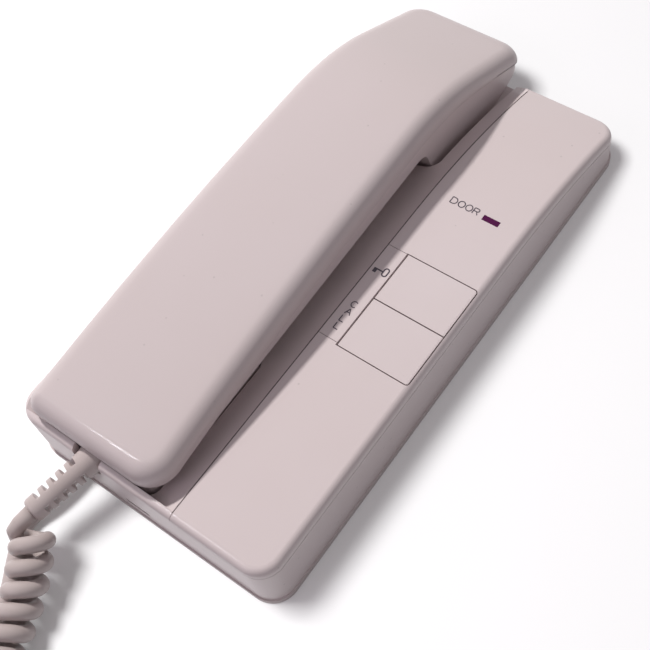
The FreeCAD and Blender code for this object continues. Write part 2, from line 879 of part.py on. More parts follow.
def inner_profile(x, grow):
    """Side profile of the inner shell; grow raises its top past the rim."""
    rim, rim_radii = rim_line(x, -grow)
    near_y = handset_near_y + rim_step
    far_y = handset_far_y - rim_step
    near_top = rim[0].z
    far_top = rim[-1].z
    lower = [V(x, far_y, far_top), V(x, ear_far_y, ear_underside), V(x, ear_near_y, ear_underside),
             V(x, ear_wall_top_y, grip_underside), V(x, mouth_wall_top_y, grip_underside),
             V(x, mouth_far_y, mouth_underside), V(x, near_y, mouth_underside),
             V(x, near_y, near_top)]
    lower_radii = [0, ear_far_radius, block_corner_radius, grip_corner_radius,
                   grip_corner_radius, block_corner_radius, mouth_corner_radius, 0]
    return rounded_wire(rim[1:3] + lower, rim_radii[1:3] + lower_radii)


def mouth_shoulders(grow):
    """Space round the mouth block, below the rim and the grip, made larger by grow."""
    half_width = mouth_block_half_width - grow
    core = block(handset_x - half_width, handset_x + half_width, handset_near_y + rim_step + grow,
                 ear_near_y, 0, clear_height, pocket_corner - grow)
    space = block(-base_width, base_width, -base_length,
                  mouth_wall_top_y + grip_corner_radius + grow, 0, grip_underside + grow)
    return space.cut(core).common(side_slab(rim_line(-base_width, shoulder_drop - grow), 0))


def handset_inner(relief):
    """Inner shell with the mouth and ear blocks, open above, and its sound holes."""
    left = -base_width
    profile = Part.Face(inner_profile(left, 0))
    body = profile.extrude(V(base_width * 2, 0, 0)).common(handset_outline(rim_step, 0, clear_height))
    taller = Part.Face(inner_profile(left, handset_wall * 2))
    hollow = taller.makeOffset2D(-handset_wall).extrude(V(base_width * 2, 0, 0))
    hollow = hollow.common(handset_outline(rim_step + handset_wall, 0, clear_height))
    hollow = hollow.cut(mouth_shoulders(handset_wall))
    body = body.cut(hollow).cut(mouth_shoulders(0))
    for y in (ear_hole_centre_y, mouth_hole_centre_y):
        for x, hole_y in sound_hole_places(y):
            body = body.cut(cylinder(x, hole_y, 0, mouth_underside + handset_wall * 2,
                                     sound_hole_radius))
    for y in handset_screw_ys:
        body = body.cut(cylinder(handset_x, y, 0, clear_height, handset_screw_radius))
        body = body.cut(cylinder(handset_x, y, 0, grip_underside + handset_screw_head_depth,
                                 handset_screw_head_radius))
    return body.cut(relief)


def sound_hole_places(centre_y):
    """A ring of sound holes round one in the middle."""
    places = [(handset_x, centre_y)]
    for index in range(sound_hole_count):
        angle = 2 * math.pi * index / sound_hole_count
        places.append((handset_x + sound_ring_radius * math.cos(angle),
                       centre_y + sound_ring_radius * math.sin(angle)))
    return places


def handset_screws():
    """Screws that hold the two shells together."""
    screws = []
    seat = grip_underside + handset_screw_head_depth
    for y in handset_screw_ys:
        head = cylinder(handset_x, y, seat - handset_screw_head_height, seat,
                        handset_screw_head_radius)
        shank = cylinder(handset_x, y, seat, handset_screw_top, handset_screw_radius)
        screws.append(fuse([head, shank]))
    return compound(screws)


def capsule(y, floor, radius, height):
    """Round sound capsule on a floor of the inner shell."""
    return cylinder(handset_x, y, floor, floor + height, radius)


def ballast():
    """Weight in the mouth block that keeps the handset seated."""
    floor = mouth_underside + handset_wall
    return block(handset_x - ballast_half_width, handset_x + ballast_half_width, ballast_near_y,
                 ballast_far_y, floor, floor + ballast_height, ballast_corner)


# Strain relief and cord

def relief_axis():
    """Root, end and direction of the strain relief."""
    root = V(*relief_root)
    end = V(*relief_end)
    return root, end, end.sub(root).normalize()


def strain_relief():
    """Tapered sleeve with a comb of slots on both sides."""
    root, end, along = relief_axis()
    start = root.sub(V(along).multiply(relief_inner_length))
    length = end.distanceToPoint(root) + relief_inner_length
    sleeve = Part.makeCone(relief_root_radius, relief_end_radius, length, start, along)
    across = along.cross(V(0, 0, 1)).normalize()
    for index in range(relief_slot_count):
        place = relief_slot_first + relief_slot_step * index
        radius = relief_root_radius
        for side in (-1, 1):
            centre = root.add(V(along).multiply(place))
            inner = centre.add(V(across).multiply(side * (radius - relief_slot_depth)))
            tool = Part.makeBox(relief_slot_depth * 2, relief_slot_width, radius * 2)
            tool.translate(V(0, -relief_slot_width / 2, -radius))
            turn = FreeCAD.Placement(inner, FreeCAD.Rotation(
                V(across).multiply(side), V(along), V(0, 0, 1), "XYZ"))
            tool.Placement = turn.multiply(tool.Placement)
            sleeve = sleeve.cut(tool)
    return sleeve


def cord_grommet():
    """Grommet of the cord in the near wall."""
    outer_y = -housing_y
    flange = Part.makeCylinder(grommet_flange_radius, grommet_flange_height,
                               V(grommet_x, outer_y - grommet_flange_height, grommet_z), V(0, 1, 0))
    sleeve = Part.makeCylinder(grommet_radius, lip_y - outer_y,
                               V(grommet_x, outer_y, grommet_z), V(0, 1, 0))
    return fuse([flange, sleeve])


def placed(route):
    """Points of a route, which count from the strain relief and the base's near end."""
    return [V(relief_x + x, y - base_half_length, z) for x, y, z in route]


def bent_wire(points):
    """Route through points whose corners are arcs from the shorter run beside them."""
    radii = [0]
    for before, corner, after in zip(points, points[1:], points[2:]):
        turn = math.pi - before.sub(corner).getAngle(after.sub(corner))
        shorter = min(before.distanceToPoint(corner), after.distanceToPoint(corner))
        radii.append(bend_share * shorter / math.tan(turn / 2))
    return rounded_wire(points, radii + [0], closed=False), radii[1:]


def stations(wire, step):
    """Points and directions at equal steps along a wire of lines and arcs."""
    found = []
    for edge in wire.OrderedEdges:
        count = max(1, round(edge.Length / step))
        first, last = edge.FirstParameter, edge.LastParameter
        forward = edge.Orientation == "Forward"
        for index in range(count):
            share = index / count
            value = first + (last - first) * share if forward else last - (last - first) * share
            along = edge.tangentAt(value)
            found.append((edge.valueAt(value), along if forward else along.negative()))
    return found


def coil_path():
    """Points and directions of the curly cord's wire, a few to each quarter turn."""
    wire, radii = bent_wire(placed(coil_route))
    print("coil route radii", [round(radius, 1) for radius in radii])
    line = stations(wire, coil_step)
    length = wire.Length
    step = length / len(line)
    side = line[0][1].cross(V(0, 0, 1)).normalize()
    path = []
    for index, (point, along) in enumerate(line):
        side = side.sub(V(along).multiply(side.dot(along))).normalize()
        over = along.cross(side)
        angle = 2 * math.pi * index * step / coil_pitch + math.radians(coil_start_deg)
        offset = V(side).multiply(math.cos(angle)).add(V(over).multiply(math.sin(angle)))
        path.append(point.add(offset.multiply(coil_radius)))
    return path, coil_pitch / step


def direction_at(path, index):
    """Direction of a dense path at one of its points."""
    after = path[min(index + 1, len(path) - 1)]
    before = path[max(index - 1, 0)]
    return after.sub(before).normalize()


def arc_from(start, corner, end):
    """Arc that leaves start towards corner and ends at end, both legs equal."""
    leg = start.distanceToPoint(corner)
    ahead = corner.sub(start).normalize()
    turn = ahead.getAngle(end.sub(corner))
    if turn < math.radians(straight_turn_deg):
        return Part.LineSegment(start, end).toShape(), math.inf
    inward = start.sub(corner).normalize().add(end.sub(corner).normalize()).normalize()
    middle = corner.add(inward.multiply(leg * math.tan(turn / 4)))
    return Part.Arc(start, middle, end).toShape(), leg / math.tan(turn / 2)


def biarc(start, start_along, end, end_along):
    """Two arcs that join two points in the given directions."""
    chord = end.sub(start)
    both = start_along.add(end_along)
    closeness = 2 * (1 - start_along.dot(end_along))
    reach = chord.dot(both)
    if closeness < same_direction_limit:
        leg = chord.dot(chord) / (2 * reach)
    else:
        leg = (math.sqrt(reach ** 2 + closeness * chord.dot(chord)) - reach) / closeness
    first = start.add(V(start_along).multiply(leg))
    second = end.sub(V(end_along).multiply(leg))
    join = first.add(second).multiply(1 / 2)
    return [arc_from(start, first, join), arc_from(join, second, end)]


def least_gap(points):
    """Least gap of the wire to itself, measured between points along it."""
    least = math.inf
    travelled = [0]
    for before, after in zip(points, points[1:]):
        travelled.append(travelled[-1] + before.distanceToPoint(after))
    for index, point in enumerate(points):
        for other in range(index + 1, len(points)):
            if travelled[other] - travelled[index] > coil_gap_skip:
                least = min(least, point.distanceToPoint(points[other]))
    return least - cord_diameter


def joined_nodes():
    """First lead, coil nodes at quarter turns, and return lead of the curly cord."""
    first, first_radii = bent_wire(placed(first_lead_route))
    last, last_radii = bent_wire(placed(return_lead_route))
    print("first lead radii", [round(radius, 1) for radius in first_radii],
          "return lead radii", [round(radius, 1) for radius in last_radii])
    path, per_turn = coil_path()
    quarter = per_turn / 4
    count = int((len(path) - 1) / quarter)
    nodes = [line_end(first, True)]
    for index in range(count + 1):
        place = round(index * quarter)
        nodes.append((path[place], direction_at(path, place)))
    nodes.append(line_end(last, False))
    return first, nodes, last, count / 4


def line_end(wire, at_end):
    """Point and direction at one end of a route that ends in a straight run."""
    edge = wire.OrderedEdges[-1 if at_end else 0]
    start = edge.firstVertex(True).Point
    end = edge.lastVertex(True).Point
    return end if at_end else start, end.sub(start).normalize()


def handset_cord():
    """Curly cord: lead from the strain relief, the coil, and the lead to the grommet."""
    first, nodes, last, turns = joined_nodes()
    edges = list(first.OrderedEdges)
    tightest = math.inf
    for (point, ahead), (after, after_ahead) in zip(nodes, nodes[1:]):
        for arc, radius in biarc(point, ahead, after, after_ahead):
            edges.append(arc)
            tightest = min(tightest, radius)
    edges += last.OrderedEdges
    spine = Part.Wire(edges)
    start, along = line_end(Part.Wire(first.OrderedEdges[:1]), False)
    profile = Part.Wire([Part.makeCircle(cord_diameter / 2, start, along)])
    tube = spine.makePipeShell([profile], True, False)
    points = [point for point, ahead in stations(spine, cord_diameter / 4)]
    print("cord turns", round(turns, 1), "wire length", round(spine.Length, 1),
          "tightest radius", round(tightest, 2), "least gap", round(least_gap(points), 2),
          "lowest", round(min(point.z for point in points) - cord_diameter / 2, 2))
    print("tube volume against section times length",
          round(tube.Volume / (math.pi * cord_diameter ** 2 / 4 * spine.Length), 4))
    return tube


# All nodes

def build_nodes():
    """Every named node of the part."""
    body = housing_body()
    relief = strain_relief()
    nodes = {
        "back_plate": back_plate(),
        "front_housing": front_housing(body).cut(hook_hole()),
        "case_screws": case_screws(),
        "face_plate": face_plate(body),
        "label_strip": label_strip(body),
        "call_button": button(body, 0),
        "door_button": button(body, 1),
        "call_spring": button_spring(0),
        "door_spring": button_spring(1),
        "push_switches": push_switches(),
        "led_lens": led_lens(body),
        "indicator_lamp": indicator_lamp(),
        "circuit_board": circuit_board(),
        "board_screws": board_screws(),
        "call_buzzer": buzzer(),
        "capacitors": capacitors(),
        "terminal_block": terminal_block(),
        "terminal_screws": terminal_screws(),
        "hook_plunger": hook_plunger(),
        "hook_spring": hook_spring(),
        "hook_switch": hook_switch(),
        "cord_grommet": cord_grommet(),
        "handset_shell": handset_shell(),
        "handset_inner": handset_inner(relief),
        "handset_screws": handset_screws(),
        "earpiece": capsule(ear_hole_centre_y, ear_underside + handset_wall, earpiece_radius,
                            earpiece_height),
        "microphone": capsule(mouth_hole_centre_y, mouth_underside + handset_wall,
                              microphone_radius, microphone_height),
        "ballast": ballast(),
        "strain_relief": relief,
        "handset_cord": handset_cord(),
    }
    return nodes


def main():
    """Build every node and write it as a STEP file."""
    os.makedirs("parts", exist_ok=True)
    for name, shape in build_nodes().items():
        box = shape.BoundBox
        print(name, shape.isValid(), len(shape.Solids), round(shape.Volume, 1),
              [round(value, 1) for value in (box.XMin, box.XMax, box.YMin, box.YMax, box.ZMin, box.ZMax)])
        shape.exportStep("parts/" + name + ".step")


main()
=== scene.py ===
"""Looks of a desk intercom: camera, curly cord, handset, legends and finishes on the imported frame.

All sizes in the classes are in millimetres in the part's frame; meshes are made in metres.
"""

import logging
import math
from dataclasses import dataclass
from enum import Enum

import bmesh
import bpy
import numpy as np
from mathutils import Euler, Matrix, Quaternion, Vector


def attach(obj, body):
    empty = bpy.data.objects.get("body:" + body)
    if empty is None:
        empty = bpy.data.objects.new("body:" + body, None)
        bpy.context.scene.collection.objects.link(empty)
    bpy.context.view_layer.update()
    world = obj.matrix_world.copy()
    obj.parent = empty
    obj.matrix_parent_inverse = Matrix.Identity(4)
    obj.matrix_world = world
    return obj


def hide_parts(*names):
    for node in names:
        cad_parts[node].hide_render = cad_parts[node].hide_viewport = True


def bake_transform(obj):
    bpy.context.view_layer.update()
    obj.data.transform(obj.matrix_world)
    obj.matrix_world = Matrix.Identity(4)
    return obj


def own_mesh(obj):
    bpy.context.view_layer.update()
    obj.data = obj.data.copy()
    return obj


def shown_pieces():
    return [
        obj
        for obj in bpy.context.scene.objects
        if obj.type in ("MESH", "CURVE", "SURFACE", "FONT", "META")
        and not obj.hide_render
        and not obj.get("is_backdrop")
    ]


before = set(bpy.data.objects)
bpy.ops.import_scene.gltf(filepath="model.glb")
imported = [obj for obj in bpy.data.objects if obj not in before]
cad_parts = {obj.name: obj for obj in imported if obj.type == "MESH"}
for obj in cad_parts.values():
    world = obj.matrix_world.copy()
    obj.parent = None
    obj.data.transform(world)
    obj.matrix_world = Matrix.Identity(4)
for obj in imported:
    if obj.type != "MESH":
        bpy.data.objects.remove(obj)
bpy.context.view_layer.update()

Array = np.ndarray
Colour = tuple[float, float, float]
Point = tuple[float, float, float]

Line = list[tuple[float, float]]
Strokes = list[tuple[Line, float]]

MM = 0.001
SLIVER = MM * MM
log = logging.getLogger("intercom")


# Meshes

def quad_grid(rows: int, columns: int, wrapped: bool) -> Array:
    """Quads of a grid of points, row after row.

    Quad (i, j) joins points i*columns + j, its neighbour in the row, and the two above them.

    Args:
        rows: Number of rows of points.
        columns: Number of points in a row.
        wrapped: Whether each row closes on itself.

    Returns:
        Point numbers, four to a quad.
    """
    across = columns if wrapped else columns - 1
    i, j = np.meshgrid(np.arange(rows - 1), np.arange(across), indexing="ij")
    after = (j + 1) % columns
    corners = (i * columns + j, i * columns + after, (i + 1) * columns + after,
               (i + 1) * columns + j)
    return np.stack(corners, axis=-1).reshape(-1, 4)


def face_outwards(mesh: bpy.types.Mesh, merge: bool) -> None:
    """Turn a mesh's faces outwards, once its doubles are joined.

    Args:
        mesh: The mesh.
        merge: Whether to join points that coincide at seams and poles.
    """
    work = bmesh.new()
    work.from_mesh(mesh)
    if merge:
        bmesh.ops.remove_doubles(work, verts=work.verts, dist=SLIVER * 2)
        bmesh.ops.dissolve_degenerate(work, edges=work.edges, dist=SLIVER)
    bmesh.ops.recalc_face_normals(work, faces=work.faces)
    work.to_mesh(mesh)
    work.free()


def make_piece(name: str, points: Array, faces: list[list[int]], merge: bool = True
               ) -> bpy.types.Object:
    """Smooth mesh object from points in millimetres.

    Args:
        name: Name of the piece.
        points: Points, three numbers each.
        faces: Point numbers of each face.
        merge: Whether to join points that coincide and turn the faces outwards.

    Returns:
        The object, linked to the scene.
    """
    mesh = bpy.data.meshes.new(name)
    mesh.from_pydata((points.reshape(-1, 3) * MM).tolist(), [], faces)
    if merge:
        face_outwards(mesh, merge=True)
    mesh.shade_smooth()
    piece = bpy.data.objects.new(name, mesh)
    bpy.context.scene.collection.objects.link(piece)
    return piece


def dress(piece: bpy.types.Object, material: bpy.types.Material) -> None:
    """Give a piece one material."""
    piece.data.materials.clear()
    piece.data.materials.append(material)


def spline_points(points: list[Point], fineness: int) -> Array:
    """Points read from a smooth NURBS line.

    Args:
        points: Control points in millimetres.
        fineness: Steps between two control points.

    Returns:
        Points along the line, in millimetres.
    """
    curve = bpy.data.curves.new("route", "CURVE")
    curve.dimensions = "3D"
    curve.resolution_u = fineness
    spline = curve.splines.new("NURBS")
    spline.points.add(len(points) - 1)
    flat = np.ones((len(points), 4))
    flat[:, :3] = np.asarray(points) * MM
    spline.points.foreach_set("co", flat.ravel())
    spline.order_u = 3
    spline.use_endpoint_u = True
    holder = bpy.data.objects.new("route", curve)
    mesh = bpy.data.meshes.new_from_object(holder)
    read = np.zeros(len(mesh.vertices) * 3)
    mesh.vertices.foreach_get("co", read)
    bpy.data.objects.remove(holder)
    bpy.data.curves.remove(curve)
    bpy.data.meshes.remove(mesh)
    return read.reshape(-1, 3) / MM


def unit(vectors: Array) -> Array:
    """Vectors divided by their lengths."""
    return vectors / np.linalg.norm(vectors, axis=-1, keepdims=True)


def directions(path: Array) -> Array:
    """Unit direction at each point of a path, from the points beside it."""
    return unit(np.gradient(path, axis=0))


def carried_sides(path: Array) -> tuple[Array, Array, Array]:
    """Frames along a path that turn as little as they can.

    Each side is the one before it, less its part along the path.

    Args:
        path: Points along the path.

    Returns:
        Unit directions, sides and overs at each point.
    """
    along = directions(path)
    sides = np.zeros_like(path)
    side = unit(np.cross(along[0], (0.0, 0.0, 1.0)))
    for index, ahead in enumerate(along):
        side = unit(side - ahead * (side @ ahead))
        sides[index] = side
    return along, sides, np.cross(along, sides)


def tube_along(name: str, path: Array, radii: Array, around: int) -> bpy.types.Object:
    """Tube carried along a path, closed at both ends.

    Point (i, j) is path i plus radius (i, j) times side cos t + over sin t, with t the j-th
    share of a turn. The first and last rings shrink to the path's ends.

    Args:
        name: Name of the piece.
        path: Middle line in millimetres.
        radii: One radius a path point, or one a path point and angle.
        around: Points in a ring.

    Returns:
        The tube.
    """
    along, sides, overs = carried_sides(path)
    turn = np.arange(around) * 2 * np.pi / around
    radii = np.broadcast_to(np.asarray(radii, float).reshape(len(path), -1), (len(path), around))
    ring = (sides[:, None] * np.cos(turn)[:, None] + overs[:, None] * np.sin(turn)[:, None])
    points = path[:, None] + ring * radii[..., None]
    points = np.concatenate((np.repeat(path[None, :1], around, 1), points,
                             np.repeat(path[None, -1:], around, 1)))
    return make_piece(name, points, quad_grid(len(points), around, True).tolist())


# Shader parts

class Graph:
    """Adds shader nodes to a tree and links them."""

    def __init__(self, tree: bpy.types.NodeTree) -> None:
        """Keep the tree.

        Args:
            tree: The node tree to fill.
        """
        self.tree = tree

    def add(self, kind: str, inputs: dict | None = None, **settings: object) -> bpy.types.Node:
        """Add a node.

        Args:
            kind: Type of the node.
            inputs: Values or sockets, by the input's name or number.
            settings: The node's own settings.

        Returns:
            The node.
        """
        node = self.tree.nodes.new(kind)
        for key, value in settings.items():
            setattr(node, key, value)
        for key, value in (inputs or {}).items():
            if isinstance(value, bpy.types.NodeSocket):
                self.tree.links.new(value, node.inputs[key])
            else:
                node.inputs[key].default_value = value
        return node


MIX_A, MIX_B, MIX_COLOUR = 6, 7, 2


def start_material(name: str) -> tuple[bpy.types.Material, Graph, bpy.types.Node,
                                       bpy.types.NodeSocket]:
    """New material with a Principled BSDF and the Object coordinates.

    Args:
        name: Name of the material.

    Returns:
        The material, its graph, its shader and the coordinates' socket.
    """
    made = bpy.data.materials.new(name)
    made.use_nodes = True
    graph = Graph(made.node_tree)
    shader = made.node_tree.nodes["Principled BSDF"]
    return made, graph, shader, graph.add("ShaderNodeTexCoord").outputs["Object"]


def new_group(name: str, inputs: dict[str, str], outputs: dict[str, str]
              ) -> tuple[bpy.types.NodeTree, Graph, bpy.types.Node, bpy.types.Node]:
    """Shader node group with named sockets.

    Args:
        name: Name of the group.
        inputs: Socket type by input name.
        outputs: Socket type by output name.

    Returns:
        The group's tree, its graph, and its input and output nodes.
    """
    tree = bpy.data.node_groups.new(name, "ShaderNodeTree")
    for label, kind in inputs.items():
        tree.interface.new_socket(label, in_out="INPUT", socket_type=kind)
    for label, kind in outputs.items():
        tree.interface.new_socket(label, in_out="OUTPUT", socket_type=kind)
    return tree, Graph(tree), tree.nodes.new("NodeGroupInput"), tree.nodes.new("NodeGroupOutput")


class Effects:
    """Effects that several finishes share, each a node group built once."""

    def __init__(self) -> None:
        """Build the groups."""
        self.grain = self.build_grain()
        self.tone = self.build_tone()
        self.rubbed = self.build_rubbed()
        self.specks = self.build_specks()

    @staticmethod
    def build_grain() -> bpy.types.NodeTree:
        """Fine moulded grain: a small noise over a wider, softer one, as a height."""
        tree, graph, start, end = new_group(
            "moulded_grain", {"Place": "NodeSocketVector", "Density": "NodeSocketFloat"},
            {"Height": "NodeSocketFloat"})
        fine = graph.add("ShaderNodeTexNoise", {"Vector": start.outputs["Place"],
                                                "Scale": start.outputs["Density"],
                                                "Detail": 3.0, "Roughness": 0.6})
        wide = graph.add("ShaderNodeTexNoise", {"Vector": start.outputs["Place"],
                                                "Scale": 60.0, "Detail": 2.0})
        total = graph.add("ShaderNodeMath", {0: wide.outputs["Fac"], 1: 4.0,
                                             2: fine.outputs["Fac"]}, operation="MULTIPLY_ADD")
        tree.links.new(total.outputs[0], end.inputs["Height"])
        return tree

    @staticmethod
    def build_tone() -> bpy.types.NodeTree:
        """Slow drift between a colour and its aged tone, by two noises."""
        tree, graph, start, end = new_group(
            "aged_tone", {"Place": "NodeSocketVector", "Fresh": "NodeSocketColor",
                          "Aged": "NodeSocketColor", "Density": "NodeSocketFloat"},
            {"Colour": "NodeSocketColor"})
        cloud = graph.add("ShaderNodeTexNoise", {"Vector": start.outputs["Place"],
                                                 "Scale": start.outputs["Density"],
                                                 "Detail": 4.0, "Roughness": 0.55})
        share = graph.add("ShaderNodeMapRange", {"Value": cloud.outputs["Fac"],
                                                 "From Min": 0.3, "From Max": 0.72})
        mix = graph.add("ShaderNodeMix", {0: share.outputs[0], MIX_A: start.outputs["Fresh"],
                                          MIX_B: start.outputs["Aged"]}, data_type="RGBA")
        tree.links.new(mix.outputs[MIX_COLOUR], end.inputs["Colour"])
        return tree

    @staticmethod
    def build_rubbed() -> bpy.types.NodeTree:
        """Handling marks: long faint scratches and soft smudges, as a mask from 0 to 1."""
        tree, graph, start, end = new_group(
            "rubbed_marks", {"Place": "NodeSocketVector"}, {"Mask": "NodeSocketFloat"})
        stretched = graph.add("ShaderNodeMapping", {"Vector": start.outputs["Place"],
                                                    "Rotation": (0.0, 0.0, 0.5),
                                                    "Scale": (900.0, 40.0, 300.0)})
        scratch = graph.add("ShaderNodeTexNoise", {"Vector": stretched.outputs[0], "Scale": 1.0,
                                                   "Detail": 2.0})
        thin = graph.add("ShaderNodeMapRange", {"Value": scratch.outputs["Fac"],
                                                "From Min": 0.62, "From Max": 0.75})
        smudge = graph.add("ShaderNodeTexNoise", {"Vector": start.outputs["Place"],
                                                  "Scale": 45.0, "Detail": 3.0})
        soft = graph.add("ShaderNodeMapRange", {"Value": smudge.outputs["Fac"],
                                                "From Min": 0.4, "From Max": 0.7,
                                                "To Max": 0.7})
        both = graph.add("ShaderNodeMath", {0: thin.outputs[0], 1: soft.outputs[0]},
                         operation="MAXIMUM")
        tree.links.new(both.outputs[0], end.inputs["Mask"])
        return tree

    @staticmethod
    def build_specks() -> bpy.types.NodeTree:
        """Dust specks: the middles of a few scattered cells, as a mask from 0 to 1."""
        tree, graph, start, end = new_group(
            "dust_specks", {"Place": "NodeSocketVector", "Density": "NodeSocketFloat"},
            {"Mask": "NodeSocketFloat"})
        cells = graph.add("ShaderNodeTexVoronoi", {"Vector": start.outputs["Place"],
                                                   "Scale": start.outputs["Density"]})
        dot = graph.add("ShaderNodeMapRange", {"Value": cells.outputs["Distance"],
                                               "From Min": 0.11, "From Max": 0.05})
        chosen = graph.add("ShaderNodeSeparateColor", {0: cells.outputs["Color"]})
        few = graph.add("ShaderNodeMath", {0: chosen.outputs[0], 1: 0.86},
                        operation="GREATER_THAN")
        mask = graph.add("ShaderNodeMath", {0: dot.outputs[0], 1: few.outputs[0]},
                         operation="MULTIPLY")
        tree.links.new(mask.outputs[0], end.inputs["Mask"])
        return tree


@dataclass(frozen=True)
class Plastic:
    """Moulded plastic or rubber with grain, an aged tone, handling marks and dust specks."""

    name: str
    fresh: Colour
    aged: Colour
    speck: Colour
    smooth: float
    rough: float
    density: float = 2600.0
    depth: float = 0.006
    tone_density: float = 14.0
    speck_density: float = 260.0
    speck_share: float = 0.35
    coat: float = 0.25
    coat_rough: float = 0.09
    specular: float = 0.4

    def material(self, effects: Effects) -> bpy.types.Material:
        """The finish as a material.

        Args:
            effects: The shared node groups.

        Returns:
            The material.
        """
        made, graph, shader, place = start_material(self.name)
        tree = made.node_tree
        tone = graph.add("ShaderNodeGroup", {"Place": place, "Fresh": (*self.fresh, 1.0),
                                             "Aged": (*self.aged, 1.0),
                                             "Density": self.tone_density},
                         node_tree=effects.tone)
        specks = graph.add("ShaderNodeGroup", {"Place": place, "Density": self.speck_density},
                           node_tree=effects.specks)
        rubbed = graph.add("ShaderNodeGroup", {"Place": place}, node_tree=effects.rubbed)
        grain = graph.add("ShaderNodeGroup", {"Place": place, "Density": self.density},
                          node_tree=effects.grain)
        share = graph.add("ShaderNodeMath", {0: specks.outputs["Mask"], 1: self.speck_share},
                          operation="MULTIPLY")
        colour = graph.add("ShaderNodeMix", {0: share.outputs[0], MIX_A: tone.outputs["Colour"],
                                             MIX_B: (*self.speck, 1.0)}, data_type="RGBA")
        worn = graph.add("ShaderNodeMapRange", {"Value": rubbed.outputs["Mask"],
                                                "To Min": self.smooth, "To Max": self.rough})
        bump = graph.add("ShaderNodeBump", {"Height": grain.outputs["Height"],
                                            "Strength": 1.0, "Distance": self.depth * MM})
        tree.links.new(colour.outputs[MIX_COLOUR], shader.inputs["Base Color"])
        tree.links.new(worn.outputs[0], shader.inputs["Roughness"])
        tree.links.new(bump.outputs[0], shader.inputs["Normal"])
        shader.inputs["Coat Weight"].default_value = self.coat
        shader.inputs["Coat Roughness"].default_value = self.coat_rough
        shader.inputs["Specular IOR Level"].default_value = self.specular
        return made


@dataclass(frozen=True)
class Metal:
    """Drawn or turned steel with fine lines round the Z axis and a little tarnish."""

    name: str
    bright: Colour
    dull: Colour
    smooth: float = 0.22
    rough: float = 0.45

    def material(self, effects: Effects) -> bpy.types.Material:
        """The finish as a material.

        Args:
            effects: The shared node groups.

        Returns:
            The material.
        """
        made, graph, shader, place = start_material(self.name)
        tree = made.node_tree
        lines = graph.add("ShaderNodeMapping", {"Vector": place, "Scale": (300.0, 300.0, 9000.0)})
        drawn = graph.add("ShaderNodeTexNoise", {"Vector": lines.outputs[0], "Scale": 1.0,
                                                 "Detail": 2.0})
        tone = graph.add("ShaderNodeGroup", {"Place": place, "Fresh": (*self.bright, 1.0),
                                             "Aged": (*self.dull, 1.0), "Density": 120.0},
                         node_tree=effects.tone)
        worn = graph.add("ShaderNodeMapRange", {"Value": drawn.outputs["Fac"],
                                                "To Min": self.smooth, "To Max": self.rough})
        tree.links.new(tone.outputs["Colour"], shader.inputs["Base Color"])
        tree.links.new(worn.outputs[0], shader.inputs["Roughness"])
        shader.inputs["Metallic"].default_value = 1.0
        return made


@dataclass(frozen=True)
class Board:
    """Circuit board laminate with rows of copper tracks under its lacquer."""

    name: str
    laminate: Colour
    track: Colour

    def material(self, effects: Effects) -> bpy.types.Material:
        """The finish as a material.

        Args:
            effects: The shared node groups.

        Returns:
            The material.
        """
        made, graph, shader, place = start_material(self.name)
        tree = made.node_tree
        bricks = graph.add("ShaderNodeTexBrick", {
            "Vector": place, "Scale": 160.0, "Mortar Size": 0.12, "Brick Width": 1.7,
            "Row Height": 0.4, "Color1": (*self.laminate, 1.0), "Color2": (*self.laminate, 1.0),
            "Mortar": (*self.track, 1.0)})
        grain = graph.add("ShaderNodeGroup", {"Place": place, "Density": 1500.0},
                          node_tree=effects.grain)
        bump = graph.add("ShaderNodeBump", {"Height": grain.outputs["Height"],
                                            "Distance": 0.02 * MM})
        tree.links.new(bricks.outputs["Color"], shader.inputs["Base Color"])
        tree.links.new(bump.outputs[0], shader.inputs["Normal"])
        shader.inputs["Roughness"].default_value = 0.35
        return made


